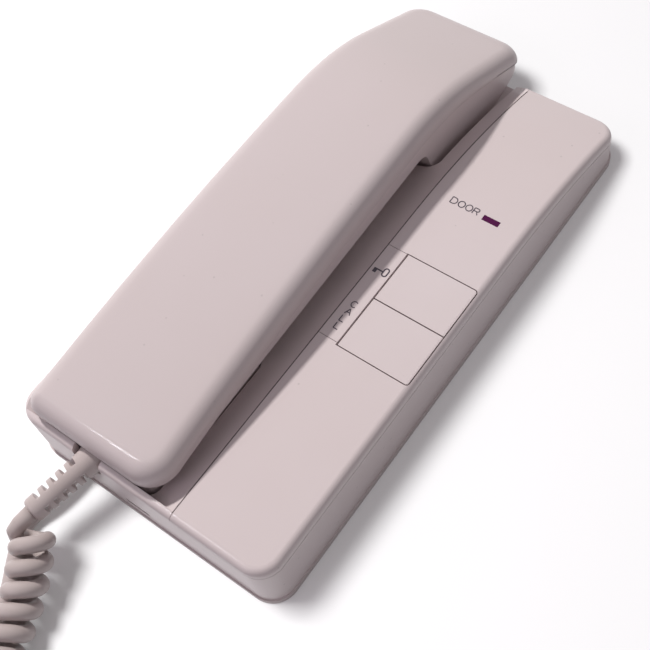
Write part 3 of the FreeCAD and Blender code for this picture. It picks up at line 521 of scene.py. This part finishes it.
class Finish(Enum):
    """The finishes of the intercom's pieces."""

    CASE = Plastic("case_plastic", (0.665, 0.588, 0.592), (0.645, 0.562, 0.560),
                   (0.34, 0.30, 0.30), 0.50, 0.58)
    KEY = Plastic("key_plastic", (0.672, 0.596, 0.600), (0.652, 0.572, 0.572),
                  (0.36, 0.32, 0.32), 0.50, 0.58, tone_density=20.0)
    # Painted shade: the case plastic darkened by about a tenth, so that the handset renders darker
    # than the face of the same plastic.
    GRIP = Plastic("handset_plastic", (0.590, 0.520, 0.526), (0.572, 0.497, 0.494),
                   (0.34, 0.30, 0.30), 0.48, 0.56, tone_density=9.0, specular=0.3)
    CORD = Plastic("cord_rubber", (0.52, 0.450, 0.440), (0.45, 0.385, 0.370),
                   (0.24, 0.21, 0.20), 0.36, 0.46, density=1400.0, depth=0.012,
                   tone_density=60.0, coat=0.1, coat_rough=0.25)
    PLATE = Plastic("plate_plastic", (0.60, 0.535, 0.535), (0.56, 0.490, 0.485),
                    (0.32, 0.29, 0.28), 0.52, 0.62, density=900.0, depth=0.02, coat=0.0)
    DARK = Plastic("dark_plastic", (0.018, 0.018, 0.020), (0.030, 0.029, 0.028),
                   (0.15, 0.14, 0.13), 0.35, 0.55, coat=0.0)
    TERMINAL = Plastic("terminal_plastic", (0.05, 0.12, 0.075), (0.07, 0.14, 0.09),
                       (0.20, 0.22, 0.18), 0.35, 0.50, coat=0.0)
    LENS = Plastic("lens_plastic", (0.062, 0.003, 0.046), (0.085, 0.005, 0.060),
                   (0.16, 0.06, 0.12), 0.20, 0.30, depth=0.002, coat=0.0, tone_density=300.0,
                   specular=0.12)
    # Painted shade: dark plastic for a thin line laid in the cradle's seam, standing in for the
    # shade inside the narrow gap.
    PAINTED_SEAM_SHADE = Plastic("painted_gap_shade", (0.130, 0.108, 0.108), (0.165, 0.140, 0.138),
                  (0.22, 0.19, 0.18), 0.60, 0.75, tone_density=200.0, coat=0.0, specular=0.1)
    INK = Plastic("legend_ink", (0.045, 0.035, 0.050), (0.075, 0.060, 0.080),
                  (0.20, 0.18, 0.20), 0.40, 0.55, tone_density=900.0, coat=0.0)
    STEEL = Metal("steel", (0.56, 0.55, 0.53), (0.40, 0.38, 0.36))
    BOARD = Board("board_laminate", (0.30, 0.17, 0.06), (0.40, 0.20, 0.08))


NODE_FINISHES = {
    Finish.CASE: ("front_housing", "face_plate", "label_strip", "hook_plunger",
                  "handset_inner"),
    Finish.KEY: ("call_button", "door_button"),
    Finish.PLATE: ("back_plate",),
    Finish.CORD: ("cord_grommet",),
    Finish.DARK: ("push_switches", "call_buzzer", "capacitors", "hook_switch", "earpiece",
                  "microphone"),
    Finish.TERMINAL: ("terminal_block",),
    Finish.LENS: ("led_lens", "indicator_lamp"),
    Finish.STEEL: ("case_screws", "call_spring", "door_spring", "board_screws",
                   "terminal_screws", "hook_spring", "handset_screws", "ballast"),
    Finish.BOARD: ("circuit_board",),
}


# Camera, floor and lamps

@dataclass
class Studio:
    """Camera at the photograph's place, pale floor, even room light and five lamps.

    The key and fill lamps light the intercom, one lamp lights the floor, and two strips make
    highlights.
    """

    camera_place: Point = (139.19, -127.88, 304.02)
    camera_turn_deg: Point = (29.5711, 7.5824, 36.4740)
    lens: float = 63.146
    sensor: float = 36.0
    floor_half: float = 1500.0
    floor_tone: float = 0.78
    floor_bounce: float = 0.42
    floor_glow: float = 0.10
    ambient: Colour = (1.0, 0.93, 0.98)
    ambient_level: float = 0.30
    aim: Point = (0.0, 0.0, 20.0)
    lamp_distance: float = 900.0
    key_way: Point = (-0.60, 0.11, 0.79)
    key_size: float = 55.0
    key_power: float = 7.3
    key_colour: Colour = (1.0, 0.985, 0.96)
    fill_way: Point = (-0.30, -0.80, 0.52)
    fill_size: float = 500.0
    fill_power: float = 0.7
    fill_colour: Colour = (0.98, 0.80, 0.98)
    strip_colour: Colour = (0.90, 0.92, 1.0)
    streak_way: Point = (-0.4404, -0.4221, 0.7923)
    streak_size: tuple[float, float] = (22.0, 170.0)
    streak_roll_deg: float = 12.0
    streak_power: float = 1.3
    edge_way: Point = (-0.34, -0.50, 0.79)
    edge_size: tuple[float, float] = (110.0, 120.0)
    edge_power: float = 1.2
    floor_way: Point = (-0.32, -0.18, 0.93)
    floor_lamp_size: float = 290.0
    floor_power: float = 8.3
    floor_colour: Colour = (1.0, 1.0, 1.0)

    def build_camera(self) -> None:
        """Place the camera with the photograph's view."""
        data = bpy.data.cameras.new("camera")
        data.sensor_width = self.sensor
        data.lens = self.lens
        data.clip_start = 0.01
        camera = bpy.data.objects.new("camera", data)
        camera.location = Vector(self.camera_place) * MM
        camera.rotation_euler = Euler([math.radians(turn) for turn in self.camera_turn_deg])
        bpy.context.scene.collection.objects.link(camera)
        bpy.context.scene.camera = camera

    def build_floor(self) -> bpy.types.Object:
        """Pale floor that keeps the shadow, shows white to the camera and bounces less light.

        Returns:
            The floor.
        """
        half = self.floor_half
        points = np.array([(-half, -half, 0), (half, -half, 0), (half, half, 0), (-half, half, 0)],
                          float)
        floor = make_piece("floor", points, [[0, 1, 2, 3]], merge=False)
        made = bpy.data.materials.new("pale_floor")
        made.use_nodes = True
        tree = made.node_tree
        tree.nodes.clear()
        graph = Graph(tree)
        seen = self.seen_directly(graph)
        tone = graph.add("ShaderNodeMapRange", {"Value": seen, "To Min": self.floor_bounce,
                                                "To Max": self.floor_tone})
        matt = graph.add("ShaderNodeBsdfDiffuse", {"Color": tone.outputs[0]})
        glow = graph.add("ShaderNodeMath", {0: seen, 1: self.floor_glow}, operation="MULTIPLY")
        light = graph.add("ShaderNodeEmission", {"Strength": glow.outputs[0]})
        both = graph.add("ShaderNodeAddShader", {0: matt.outputs[0], 1: light.outputs[0]})
        graph.add("ShaderNodeOutputMaterial", {"Surface": both.outputs[0]})
        dress(floor, made)
        floor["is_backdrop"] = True
        return floor

    @staticmethod
    def seen_directly(graph: Graph) -> bpy.types.NodeSocket:
        """Mask of the rays from the camera, a reflection or a clear piece.

        Args:
            graph: The tree's graph.

        Returns:
            The mask's socket.
        """
        rays = graph.add("ShaderNodeLightPath")
        mask = rays.outputs["Is Camera Ray"]
        for kind in ("Is Glossy Ray", "Is Transmission Ray"):
            mask = graph.add("ShaderNodeMath", {0: mask, 1: rays.outputs[kind]},
                             operation="MAXIMUM").outputs[0]
        return mask

    def build_world(self) -> None:
        """Even, slightly pink light from all round, white where it is seen."""
        world = bpy.data.worlds.new("room")
        world.use_nodes = True
        tree = world.node_tree
        tree.nodes.clear()
        graph = Graph(tree)
        even = graph.add("ShaderNodeBackground", {"Color": (*self.ambient, 1.0),
                                                  "Strength": self.ambient_level})
        white = graph.add("ShaderNodeBackground", {"Color": (1.0, 1.0, 1.0, 1.0)})
        mix = graph.add("ShaderNodeMixShader", {0: self.seen_directly(graph),
                                                1: even.outputs[0], 2: white.outputs[0]})
        graph.add("ShaderNodeOutputWorld", {"Surface": mix.outputs[0]})
        bpy.context.scene.world = world

    def add_lamp(self, name: str, way: Point, size: float, power: float, colour: Colour
                 ) -> bpy.types.Object:
        """Square lamp that points at the intercom.

        Args:
            name: Name of the lamp.
            way: Direction from the intercom to the lamp.
            size: Side in millimetres.
            power: Power in watts.
            colour: Colour of the light.

        Returns:
            The lamp.
        """
        data = bpy.data.lights.new(name, "AREA")
        data.size = size * MM
        data.energy = power
        data.color = colour
        lamp = bpy.data.objects.new(name, data)
        toward = Vector(way).normalized()
        lamp.location = (Vector(self.aim) + toward * self.lamp_distance) * MM
        lamp.rotation_euler = toward.to_track_quat("Z", "Y").to_euler()
        bpy.context.scene.collection.objects.link(lamp)
        return lamp

    def add_strip(self, name: str, way: Point, size: tuple[float, float], roll_deg: float,
                  power: float) -> bpy.types.Object:
        """Oblong lamp that only makes highlights.

        Args:
            name: Name of the lamp.
            way: Direction from the intercom to the lamp.
            size: Its two sides in millimetres.
            roll_deg: Turn about its own direction.
            power: Power in watts.

        Returns:
            The lamp.
        """
        lamp = self.add_lamp(name, way, size[0], power, self.strip_colour)
        lamp.data.shape = "RECTANGLE"
        lamp.data.size_y = size[1] * MM
        turn = Quaternion((0, 0, 1), math.radians(roll_deg))
        lamp.rotation_euler = (lamp.rotation_euler.to_quaternion() @ turn).to_euler()
        lamp.visible_diffuse = False
        return lamp

    @staticmethod
    def shine_on(lamp: bpy.types.Object, name: str, lit: list[bpy.types.Object]) -> None:
        """Let a lamp light only some objects, while all objects still shade it.

        Args:
            lamp: The lamp.
            name: Name of the group that it lights.
            lit: The objects that it lights.
        """
        group = bpy.data.collections.new(name)
        for piece in lit:
            group.objects.link(piece)
        lamp.light_linking.receiver_collection = group

    def build(self) -> None:
        """Build the floor, the room and the lamps.

        The key lamp stands low enough to throw the handset's shadow over the cradle. The floor
        has a softer lamp of its own from the same side, higher up, for a short soft shadow. The
        streak lamp shines on the handset's cover only, the edge lamp on housing and face plate.
        """
        floor = self.build_floor()
        self.build_world()
        key = self.add_lamp("key_lamp", self.key_way, self.key_size, self.key_power,
                            self.key_colour)
        key.visible_glossy = False
        self.add_lamp("fill_lamp", self.fill_way, self.fill_size, self.fill_power,
                      self.fill_colour)
        streak = self.add_strip("streak_lamp", self.streak_way, self.streak_size,
                                self.streak_roll_deg, self.streak_power)
        edge = self.add_strip("edge_lamp", self.edge_way, self.edge_size, 0.0, self.edge_power)
        above = self.add_lamp("floor_lamp", self.floor_way, self.floor_lamp_size,
                              self.floor_power, self.floor_colour)
        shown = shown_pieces()
        cover = [piece for piece in shown if piece.name.startswith("handset_cover")]
        station = [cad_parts[name] for name in ("front_housing", "face_plate")]
        self.shine_on(key, "lit_by_key", shown)
        self.shine_on(streak, "lit_by_streak", cover)
        self.shine_on(edge, "lit_by_edge", station)
        self.shine_on(above, "lit_from_above", [floor])
        bpy.context.scene.view_settings.view_transform = "Standard"


# Cord

@dataclass
class CurlyCord:
    """Curly cord: a straight lead, a coil round its route, and a lead back to the base."""

    diameter: float = 4.8
    coil_radius: float = 4.2
    pitch: float = 6.2
    start_deg: float = 170.0
    points_per_turn: int = 16
    around: int = 18
    route_fineness: int = 60
    coil_fineness: int = 3
    lead_fineness: int = 12
    first_lead: tuple[Point, ...] = (
        (-22.71, -110.25, 18.19), (-24.56, -118.0, 17.25), (-25.3, -116.4, 7.4),
        (-19.5, -113.6, 6.9))
    coil_route: tuple[Point, ...] = (
        (-18.8, -115.4, 15.1), (-14.1, -124.4, 10.8), (-9.0, -138.6, 7.2), (-1.0, -165.0, 6.8),
        (-9.0, -197.0, 6.8), (-38.0, -214.0, 6.8), (-70.0, -203.0, 6.8), (-83.0, -174.0, 6.8),
        (-72.0, -146.0, 6.8))
    return_lead: tuple[Point, ...] = (
        (-58.0, -140.0, 4.5), (-52.0, -149.0, 2.6), (-49.0, -161.8, 2.6), (-39.3, -171.5, 2.6),
        (-25.7, -171.5, 2.6), (-16.0, -161.8, 2.6), (-16.1, -155.0, 2.6))
    last_lead: tuple[Point, ...] = (
        (-16.1, -155.0, 2.6), (-16.2, -148.0, 2.6), (-18.9, -132.5, 2.6), (-26.4, -121.5, 2.6),
        (-31.0, -112.8, 2.6), (-27.0, -101.5, 5.7), (-27.0, -92.25, 5.7))
    still_point: Point = (-37.05, -145.05, 1.8)

    def helix(self) -> list[Point]:
        """Control points of the coil's turns.

        At length s along the route a point stands coil_radius from it, turned by 2 pi s / pitch
        past the start angle, from the route's side towards its over direction.

        Returns:
            The points.
        """
        line = spline_points(list(self.coil_route), self.route_fineness)
        step = np.linalg.norm(np.diff(line, axis=0), axis=1)
        run = np.concatenate(([0.0], np.cumsum(step)))
        along = directions(line)
        sides = unit(np.cross(along, (0.0, 0.0, 1.0)))
        overs = np.cross(along, sides)
        count = int(run[-1] / self.pitch * self.points_per_turn)
        place = np.arange(count) * self.pitch / self.points_per_turn
        turn = 2 * np.pi * place / self.pitch + math.radians(self.start_deg)

        def at(values: Array) -> Array:
            """Values at the places, between those of the line."""
            return np.stack([np.interp(place, run, values[:, k]) for k in range(3)], axis=-1)

        out = at(sides) * np.cos(turn)[:, None] + at(overs) * np.sin(turn)[:, None]
        return (at(line) + unit(out) * self.coil_radius).tolist()

    def lay(self, name: str, points: list[Point], fineness: int,
            material: bpy.types.Material) -> bpy.types.Object:
        """Make a tube along a smooth line.

        Args:
            name: Name of the piece.
            points: Control points of the line.
            fineness: Steps between two control points.
            material: Its finish.

        Returns:
            The tube.
        """
        path = spline_points(points, fineness)
        tube = tube_along(name, path, np.full(len(path), self.diameter / 2), self.around)
        dress(tube, material)
        return tube

    def build(self, material: bpy.types.Material) -> None:
        """Make the cord in two pieces: the curly cord, and a lead that rides on the base.

        Args:
            material: Its finish.
        """
        wire = [*self.first_lead, *self.helix(), *self.return_lead]
        tube = self.lay("curly_cord", wire, self.coil_fineness, material)
        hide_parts("handset_cord")
        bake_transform(tube)
        lead = self.lay("return_lead", list(self.last_lead), self.lead_fineness, material)
        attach(lead, "base")


# Handset

@dataclass(frozen=True)
class SideLine:
    """Side line over y: a rising run, a level run and a falling run, rounded where they meet."""

    near_y: float
    far_y: float
    near_top: float
    crown: float
    far_top: float
    near_run: float
    far_run: float
    near_radius: float
    far_radius: float

    def height(self, y: Array) -> Array:
        """Height of the line.

        Each run is straight. Round a corner the height is that of the circle that touches both
        runs, whose middle stands one radius below the level run.

        Args:
            y: Places along the handset.

        Returns:
            Heights in millimetres.
        """
        y = np.asarray(y, float)
        rise = (self.crown - self.near_top) / self.near_run
        fall = (self.crown - self.far_top) / self.far_run
        near_corner = self.near_y + self.near_run
        far_corner = self.far_y - self.far_run
        near_half = self.near_radius * math.tan(math.atan(rise) / 2)
        far_half = self.far_radius * math.tan(math.atan(fall) / 2)
        z = np.minimum(self.crown, self.crown + (y - near_corner) * rise)
        z = np.minimum(z, self.crown - (y - far_corner) * fall)
        for middle, radius, low, high in (
                (near_corner + near_half, self.near_radius,
                 near_corner - near_half * math.cos(math.atan(rise)), near_corner + near_half),
                (far_corner - far_half, self.far_radius, far_corner - far_half,
                 far_corner + far_half * math.cos(math.atan(fall)))):
            inside = (y > low) & (y < high)
            arc = self.crown - radius + np.sqrt(np.maximum(radius ** 2 - (y - middle) ** 2, 0))
            z = np.where(inside, arc, z)
        return z


@dataclass
class Handset:
    """Outer cover of the handset, with its strain relief."""

    middle_x: float = -16.1
    near_half: float = 24.7
    far_half: float = 21.7
    near_y: float = -88.9
    far_y: float = 100.9
    near_left_corner: float = 4.0
    near_right_corner: float = 9.4
    far_corner: float = 8.0
    edge: float = 5.2
    lip: float = 0.35
    lip_turn: float = 0.3
    wall: float = 2.0
    ceiling_share: float = 0.55
    side_points: int = 90
    end_points: int = 16
    corner_points: int = 12
    edge_rings: int = 12
    top_rings: int = 8
    top: SideLine = SideLine(-88.9, 100.9, 32.7, 40.4, 18.2, 60.105, 46.75, 905.0, 78.0)
    rim: SideLine = SideLine(-88.9, 100.9, 25.2, 32.9, 12.9, 60.105, 44.92, 905.0, 90.0)
    relief_root: Point = (-17.6, -88.8, 20.8)
    relief_end: Point = (-22.7, -110.2, 18.2)
    relief_inner: float = 3.5
    relief_root_radius: float = 4.1
    relief_end_radius: float = 3.7
    relief_steps: int = 300
    relief_around: int = 72
    tip_run: float = 1.2
    tip_drop: float = 0.9
    slot_first: float = 5.0
    slot_step: float = 3.2
    slot_count: int = 5
    slot_half: float = 0.75
    slot_depth: float = 2.1
    slot_ramp: float = 0.18
    least_aside: float = 0.01
    slot_tilt_deg: float = 28.0
    root_flare: float = 0.4
    flare_run: float = 1.6

    def outline(self, inset: float) -> Array:
        """Rounded, tapered outline of the handset, moved in by an inset.

        Four straight sides joined by quarter turns about corner middles that stay where they
        are, so that an inset only shortens the turns' radius.

        Args:
            inset: Distance inwards.

        Returns:
            Points (x, y) round the outline.
        """
        middles, angles, radii = [], [], []
        for sx, sy, start in ((-1, -1, 180), (1, -1, 270), (1, 1, 0), (-1, 1, 90)):
            half = self.near_half if sy < 0 else self.far_half
            y = self.near_y if sy < 0 else self.far_y
            near_corner = self.near_left_corner if sx < 0 else self.near_right_corner
            corner = near_corner if sy < 0 else self.far_corner
            reach = max(corner, inset)
            middles.append((self.middle_x + sx * (half - reach), y - sy * reach))
            angles.append(start)
            radii.append(max(corner - inset, 0.0))
        points = []
        counts = (self.end_points, self.side_points, self.end_points, self.side_points)
        for index, ((x, y), start) in enumerate(zip(middles, angles)):
            turn = np.radians(start + np.linspace(0, 90, self.corner_points))
            arc = np.stack((x + radii[index] * np.cos(turn), y + radii[index] * np.sin(turn)),
                           axis=-1)
            follow = (index + 1) % 4
            after_x, after_y = middles[follow]
            after = math.radians(angles[follow])
            end = np.array((after_x + radii[follow] * math.cos(after),
                            after_y + radii[follow] * math.sin(after)))
            share = np.linspace(0, 1, counts[index] + 2)[1:-1, None]
            points += [arc, arc[-1] * (1 - share) + end * share]
        return np.concatenate(points)

    def spine(self, points: Array) -> Array:
        """Nearest points on the handset's middle line."""
        low = self.near_y + self.near_half
        high = self.far_y - self.far_half
        return np.stack((np.full(len(points), self.middle_x), np.clip(points[:, 1], low, high)),
                        axis=-1)

    def rings(self) -> Array:
        """Rings of the cover from the middle line out, over the edge, and back in below.

        On top a ring lies at a share of the way from the middle line to the edge's start. Over
        the edge the inset is edge (1 - sin a) and the drop edge (1 - cos a) for a from 0 to a
        quarter turn. Then come the wall down to the rim, its rounded lip, the inner face and a
        ceiling that lies a share of the way from the rim's height to the top's.

        Returns:
            Rings of points in millimetres.
        """
        found = []
        inner = self.outline(self.edge)
        middle = self.spine(inner)
        for share in np.linspace(0, 1, self.top_rings + 1)[:-1]:
            flat = middle + (inner - middle) * share
            found.append((flat, self.top.height(flat[:, 1])))
        for turn in np.linspace(0, np.pi / 2, self.edge_rings):
            flat = self.outline(self.edge * (1 - math.sin(turn)))
            found.append((flat, self.top.height(flat[:, 1]) - self.edge * (1 - math.cos(turn))))
        turn_in = self.lip * self.lip_turn
        for inset, above in ((0.0, self.lip * 2), (0.0, self.lip), (turn_in, turn_in),
                             (self.lip, 0.0), (self.wall - self.lip, 0.0), (self.wall, self.lip)):
            flat = self.outline(inset)
            found.append((flat, self.rim.height(flat[:, 1]) + above))
        ceiling = self.outline(self.wall)
        middle = self.spine(ceiling)
        for share in (1.0, 0.5, 0.0):
            flat = middle + (ceiling - middle) * share
            low, high = self.rim.height(flat[:, 1]), self.top.height(flat[:, 1])
            found.append((flat, low + (high - low) * self.ceiling_share))
        return np.stack([np.column_stack((flat, z)) for flat, z in found])

    def build_cover(self, material: bpy.types.Material) -> None:
        """Make the cover in place of the outer shell.

        Args:
            material: Its finish.
        """
        rings = self.rings()
        cover = make_piece("handset_cover", rings,
                           quad_grid(rings.shape[0], rings.shape[1], True).tolist())
        dress(cover, material)
        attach(cover, "handset")
        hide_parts("handset_shell")
        log.info("handset_cover: %d points", len(cover.data.vertices))

    def build_relief(self, material: bpy.types.Material) -> None:
        """Make the strain relief: a tapered sleeve with a comb of slots down both sides.

        The radius falls evenly from root to end and widens softly at the root. Where the slot
        wave along the sleeve is one, it is no more than (radius - slot depth) / |cos t|, with
        t from the tilted sides, so that each slot has a flat floor.

        Args:
            material: Its finish.
        """
        root, end = np.array(self.relief_root), np.array(self.relief_end)
        length = np.linalg.norm(end - root)
        ahead = (end - root) / length
        run = np.linspace(-self.relief_inner, length, self.relief_steps)
        path = root + run[:, None] * ahead
        turn = np.arange(self.relief_around) * 2 * np.pi / self.relief_around
        share = (run + self.relief_inner) / (length + self.relief_inner)
        taper = self.relief_end_radius - self.relief_root_radius
        radius = self.relief_root_radius + taper * share
        tip = np.clip((length - run) / self.tip_run, 0, 1)
        radius = radius - self.tip_drop * (1 - np.sqrt(1 - (1 - tip) ** 2))
        wave = np.zeros(self.relief_steps)
        for index in range(self.slot_count):
            offset = np.abs(run - (self.slot_first + self.slot_step * index))
            rise = (self.slot_half - offset) / self.slot_ramp + 0.5
            wave = np.maximum(wave, np.clip(rise, 0, 1))
        radius = radius + self.root_flare * np.exp(-(np.maximum(run, 0) / self.flare_run) ** 2)
        aside = np.abs(np.cos(turn + math.radians(self.slot_tilt_deg)))
        floor = (radius[:, None] - self.slot_depth) / np.maximum(aside, self.least_aside)[None]
        radii = radius[:, None] - wave[:, None] * np.maximum(radius[:, None] - floor, 0)
        relief = tube_along("relief_sleeve", path, radii, self.relief_around)
        dress(relief, material)
        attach(relief, "handset")
        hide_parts("strain_relief")
        log.info("relief_sleeve: %d points", len(relief.data.vertices))


# Legends

def face_height(y: Array) -> Array:
    """Height of the base's face: a slight slope, then a wide arc that falls to the far end."""
    near, bend, bend_y, radius, half = 24.2, 23.2, 25.5, 208.0, 91.5
    slope = math.atan((near - bend) / (bend_y + half))
    middle_y = bend_y - radius * math.sin(slope)
    middle_z = bend - radius * math.cos(slope)
    y = np.asarray(y, float)
    flat = bend + (bend_y - y) * math.tan(slope)
    bow = middle_z + np.sqrt(np.maximum(radius ** 2 - (y - middle_y) ** 2, 0))
    return np.where(y <= bend_y, flat, bow)


def arc_points(x: float, y: float, half_x: float, half_y: float, start: float, end: float,
               count: int = 24) -> Line:
    """Points on an ellipse: (x + half_x cos t, y + half_y sin t), t from start to end degrees."""
    turn = np.radians(np.linspace(start, end, count))
    return np.stack((x + half_x * np.cos(turn), y + half_y * np.sin(turn)), axis=-1).tolist()


@dataclass(frozen=True)
class Word:
    """Place and size of a printed word: first letter's left foot, steps and letter box."""

    letters: str
    x: float
    y: float
    height: float
    step_x: float
    step_y: float
    width: float


@dataclass
class Legends:
    """Printed words DOOR and CALL, a small key, and a line of painted shade in the cradle's seam,
    laid on the face.
    """

    stroke: float = 0.31
    ink: float = 0.03
    lift: float = 0.012
    door: Word = Word("DOOR", 20.17, 33.42, 2.28, 2.6, 0.0, 0.91)
    call: Word = Word("CALL", 16.0, -12.0, 2.0, 0.05, -2.78, 1.05)
    bow_x: float = 18.35
    bow_low: float = 1.95
    bow_high: float = 3.25
    bow_radius: float = 0.75
    bow_stroke: float = 0.42
    shaft_ends: tuple[float, float] = (14.55, 17.6)
    shaft_y: float = 2.45
    shaft_stroke: float = 0.44
    bit_x: float = 15.1
    bit_ends: tuple[float, float] = (1.05, 2.55)
    bit_stroke: float = 1.15
    # Place and size of the line of painted shade in the seam.
    seam_x: float = 13.38
    seam_ends: tuple[float, float] = (-89.2, 88.8)
    seam_points: int = 160
    seam_width: float = 0.30

    def letter(self, name: str) -> list[Line]:
        """Strokes of a letter in a box one high and about 0.8 wide.

        Args:
            name: The letter.

        Returns:
            Lines of points (x, y).
        """
        bowl = arc_points(0.42, 0.5, 0.53, 0.5, -90, 90)
        shapes = {
            "A": [[(0.0, 0.0), (0.42, 1.0)], [(0.84, 0.0), (0.42, 1.0)],
                  [(0.16, 0.36), (0.68, 0.36)]],
            "C": [arc_points(0.46, 0.5, 0.46, 0.5, 48, 312)],
            "D": [[(0.0, 0.0), (0.0, 1.0)], [(0.0, 1.0), *bowl[::-1], (0.0, 0.0)]],
            "L": [[(0.0, 1.0), (0.0, 0.0)], [(0.0, 0.0), (0.68, 0.0)]],
            "O": [arc_points(0.5, 0.5, 0.5, 0.5, 0, 360)],
            "R": [[(0.0, 0.0), (0.0, 1.0)],
                  [(0.0, 1.0), *arc_points(0.52, 0.75, 0.31, 0.25, 90, -90, 14), (0.0, 0.5)],
                  [(0.52, 0.5), (0.85, 0.0)]],
        }
        return shapes[name]

    def ribbon(self, line: Line, width: float, height: float) -> Array:
        """Flat bar carried along a line on the face.

        Its four long edges stand half the width to each side of the line, on the face and one
        ink thickness over it.

        Args:
            line: Points (x, y) in millimetres.
            width: Width of the stroke.
            height: Extra height over the face.

        Returns:
            Points, four to each point of the line.
        """
        flat = np.asarray(line, float)
        ahead = unit(np.gradient(flat, axis=0))
        aside = np.stack((-ahead[:, 1], ahead[:, 0]), axis=-1) * width / 2
        corners = []
        for sign, up in ((1, 0.0), (1, self.ink), (-1, self.ink), (-1, 0.0)):
            place = flat + aside * sign
            z = face_height(place[:, 1]) + self.lift + up + height
            corners.append(np.column_stack((place, z)))
        return np.stack(corners, axis=1)

    def build(self, name: str, strokes: Strokes, material: bpy.types.Material) -> None:
        """Make one printed mark, or the line of painted shade in the seam, from its strokes.

        Args:
            name: Name of the piece.
            strokes: Lines of points and the width of each.
            material: Its finish.
        """
        points, faces, total = [], [], 0
        for index, (line, width) in enumerate(strokes):
            bar = self.ribbon(line, width, index * self.ink / 20)
            quads = quad_grid(len(bar), 4, True) + total
            ends = [[total + 3, total + 2, total + 1, total],
                    [total + len(bar) * 4 - 4 + k for k in range(4)]]
            faces += quads.tolist() + ends
            points.append(bar.reshape(-1, 3))
            total += len(bar) * 4
        mark = make_piece(name, np.concatenate(points), faces, merge=False)
        face_outwards(mark.data, merge=False)
        mark.data.shade_flat()
        dress(mark, material)
        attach(mark, "base")
        log.info("%s: %d strokes", name, len(strokes))

    def word(self, word: Word) -> Strokes:
        """Strokes of a word.

        Args:
            word: The word's letters, place and size.

        Returns:
            Lines of points and their widths.
        """
        strokes = []
        for index, name in enumerate(word.letters):
            for line in self.letter(name):
                placed = [(word.x + word.step_x * index + px * word.height * word.width,
                           word.y + word.step_y * index + py * word.height) for px, py in line]
                strokes.append((placed, self.stroke))
        return strokes

    def key(self) -> Strokes:
        """Strokes of the key: long bow, shaft and square bit."""
        radius = self.bow_radius
        bow = [*arc_points(self.bow_x, self.bow_high, radius, radius, 0, 180, 14),
               *arc_points(self.bow_x, self.bow_low, radius, radius, 180, 360, 14),
               (self.bow_x + radius, self.bow_high)]
        shaft = [(x, self.shaft_y) for x in self.shaft_ends]
        bit = [(self.bit_x, y) for y in self.bit_ends]
        return [(bow, self.bow_stroke), (shaft, self.shaft_stroke), (bit, self.bit_stroke)]

    def build_marks(self, material: bpy.types.Material) -> None:
        """Make the two words and the key.

        Args:
            material: Their finish.
        """
        self.build("legend_door", self.word(self.door), material)
        self.build("legend_call", self.word(self.call), material)
        self.build("legend_key", self.key(), material)

    def build_painted_gap(self, material: bpy.types.Material) -> None:
        """Lay a thin dark line of painted shade in the seam between cradle and face plate, for the
        shade inside the gap.

        Args:
            material: Its finish.
        """
        y = np.linspace(*self.seam_ends, self.seam_points)
        line = np.column_stack((np.full(len(y), self.seam_x), y)).tolist()
        self.build("painted_seam_shade", [(line, self.seam_width)], material)


@dataclass(frozen=True)
class ButtonSprings:
    """Return springs under the buttons, each given a mesh of its own."""

    foot: float = 9.6
    travel: float = 1.2
    joints: tuple[tuple[str, str], ...] = (("call_spring", "call_press"),
                                           ("door_spring", "door_press"))

    def build(self) -> None:
        """Give each spring a mesh of its own."""
        for name, joint in self.joints:
            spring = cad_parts[name]
            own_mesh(spring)
            log.info("%s: flattens with %s", name, joint)


def finish_nodes(materials: dict[Finish, bpy.types.Material]) -> None:
    """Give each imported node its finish.

    Args:
        materials: Material of each finish.
    """
    for finish, names in NODE_FINISHES.items():
        for name in names:
            dress(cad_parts[name], materials[finish])
            log.info("%s: %s", name, materials[finish].name)


def main() -> None:
    """Build the looks in order."""
    logging.basicConfig(level=logging.INFO, format="%(message)s")
    studio = Studio()
    studio.build_camera()
    effects = Effects()
    materials = {finish: finish.value.material(effects) for finish in Finish}
    CurlyCord().build(materials[Finish.CORD])
    handset = Handset()
    handset.build_cover(materials[Finish.GRIP])
    handset.build_relief(materials[Finish.CORD])
    legends = Legends()
    legends.build_marks(materials[Finish.INK])
    # Painted shade: a dark line along the cradle's seam.
    legends.build_painted_gap(materials[Finish.PAINTED_SEAM_SHADE])
    finish_nodes(materials)
    ButtonSprings().build()
    studio.build()


if __name__ == "__main__":
    main()
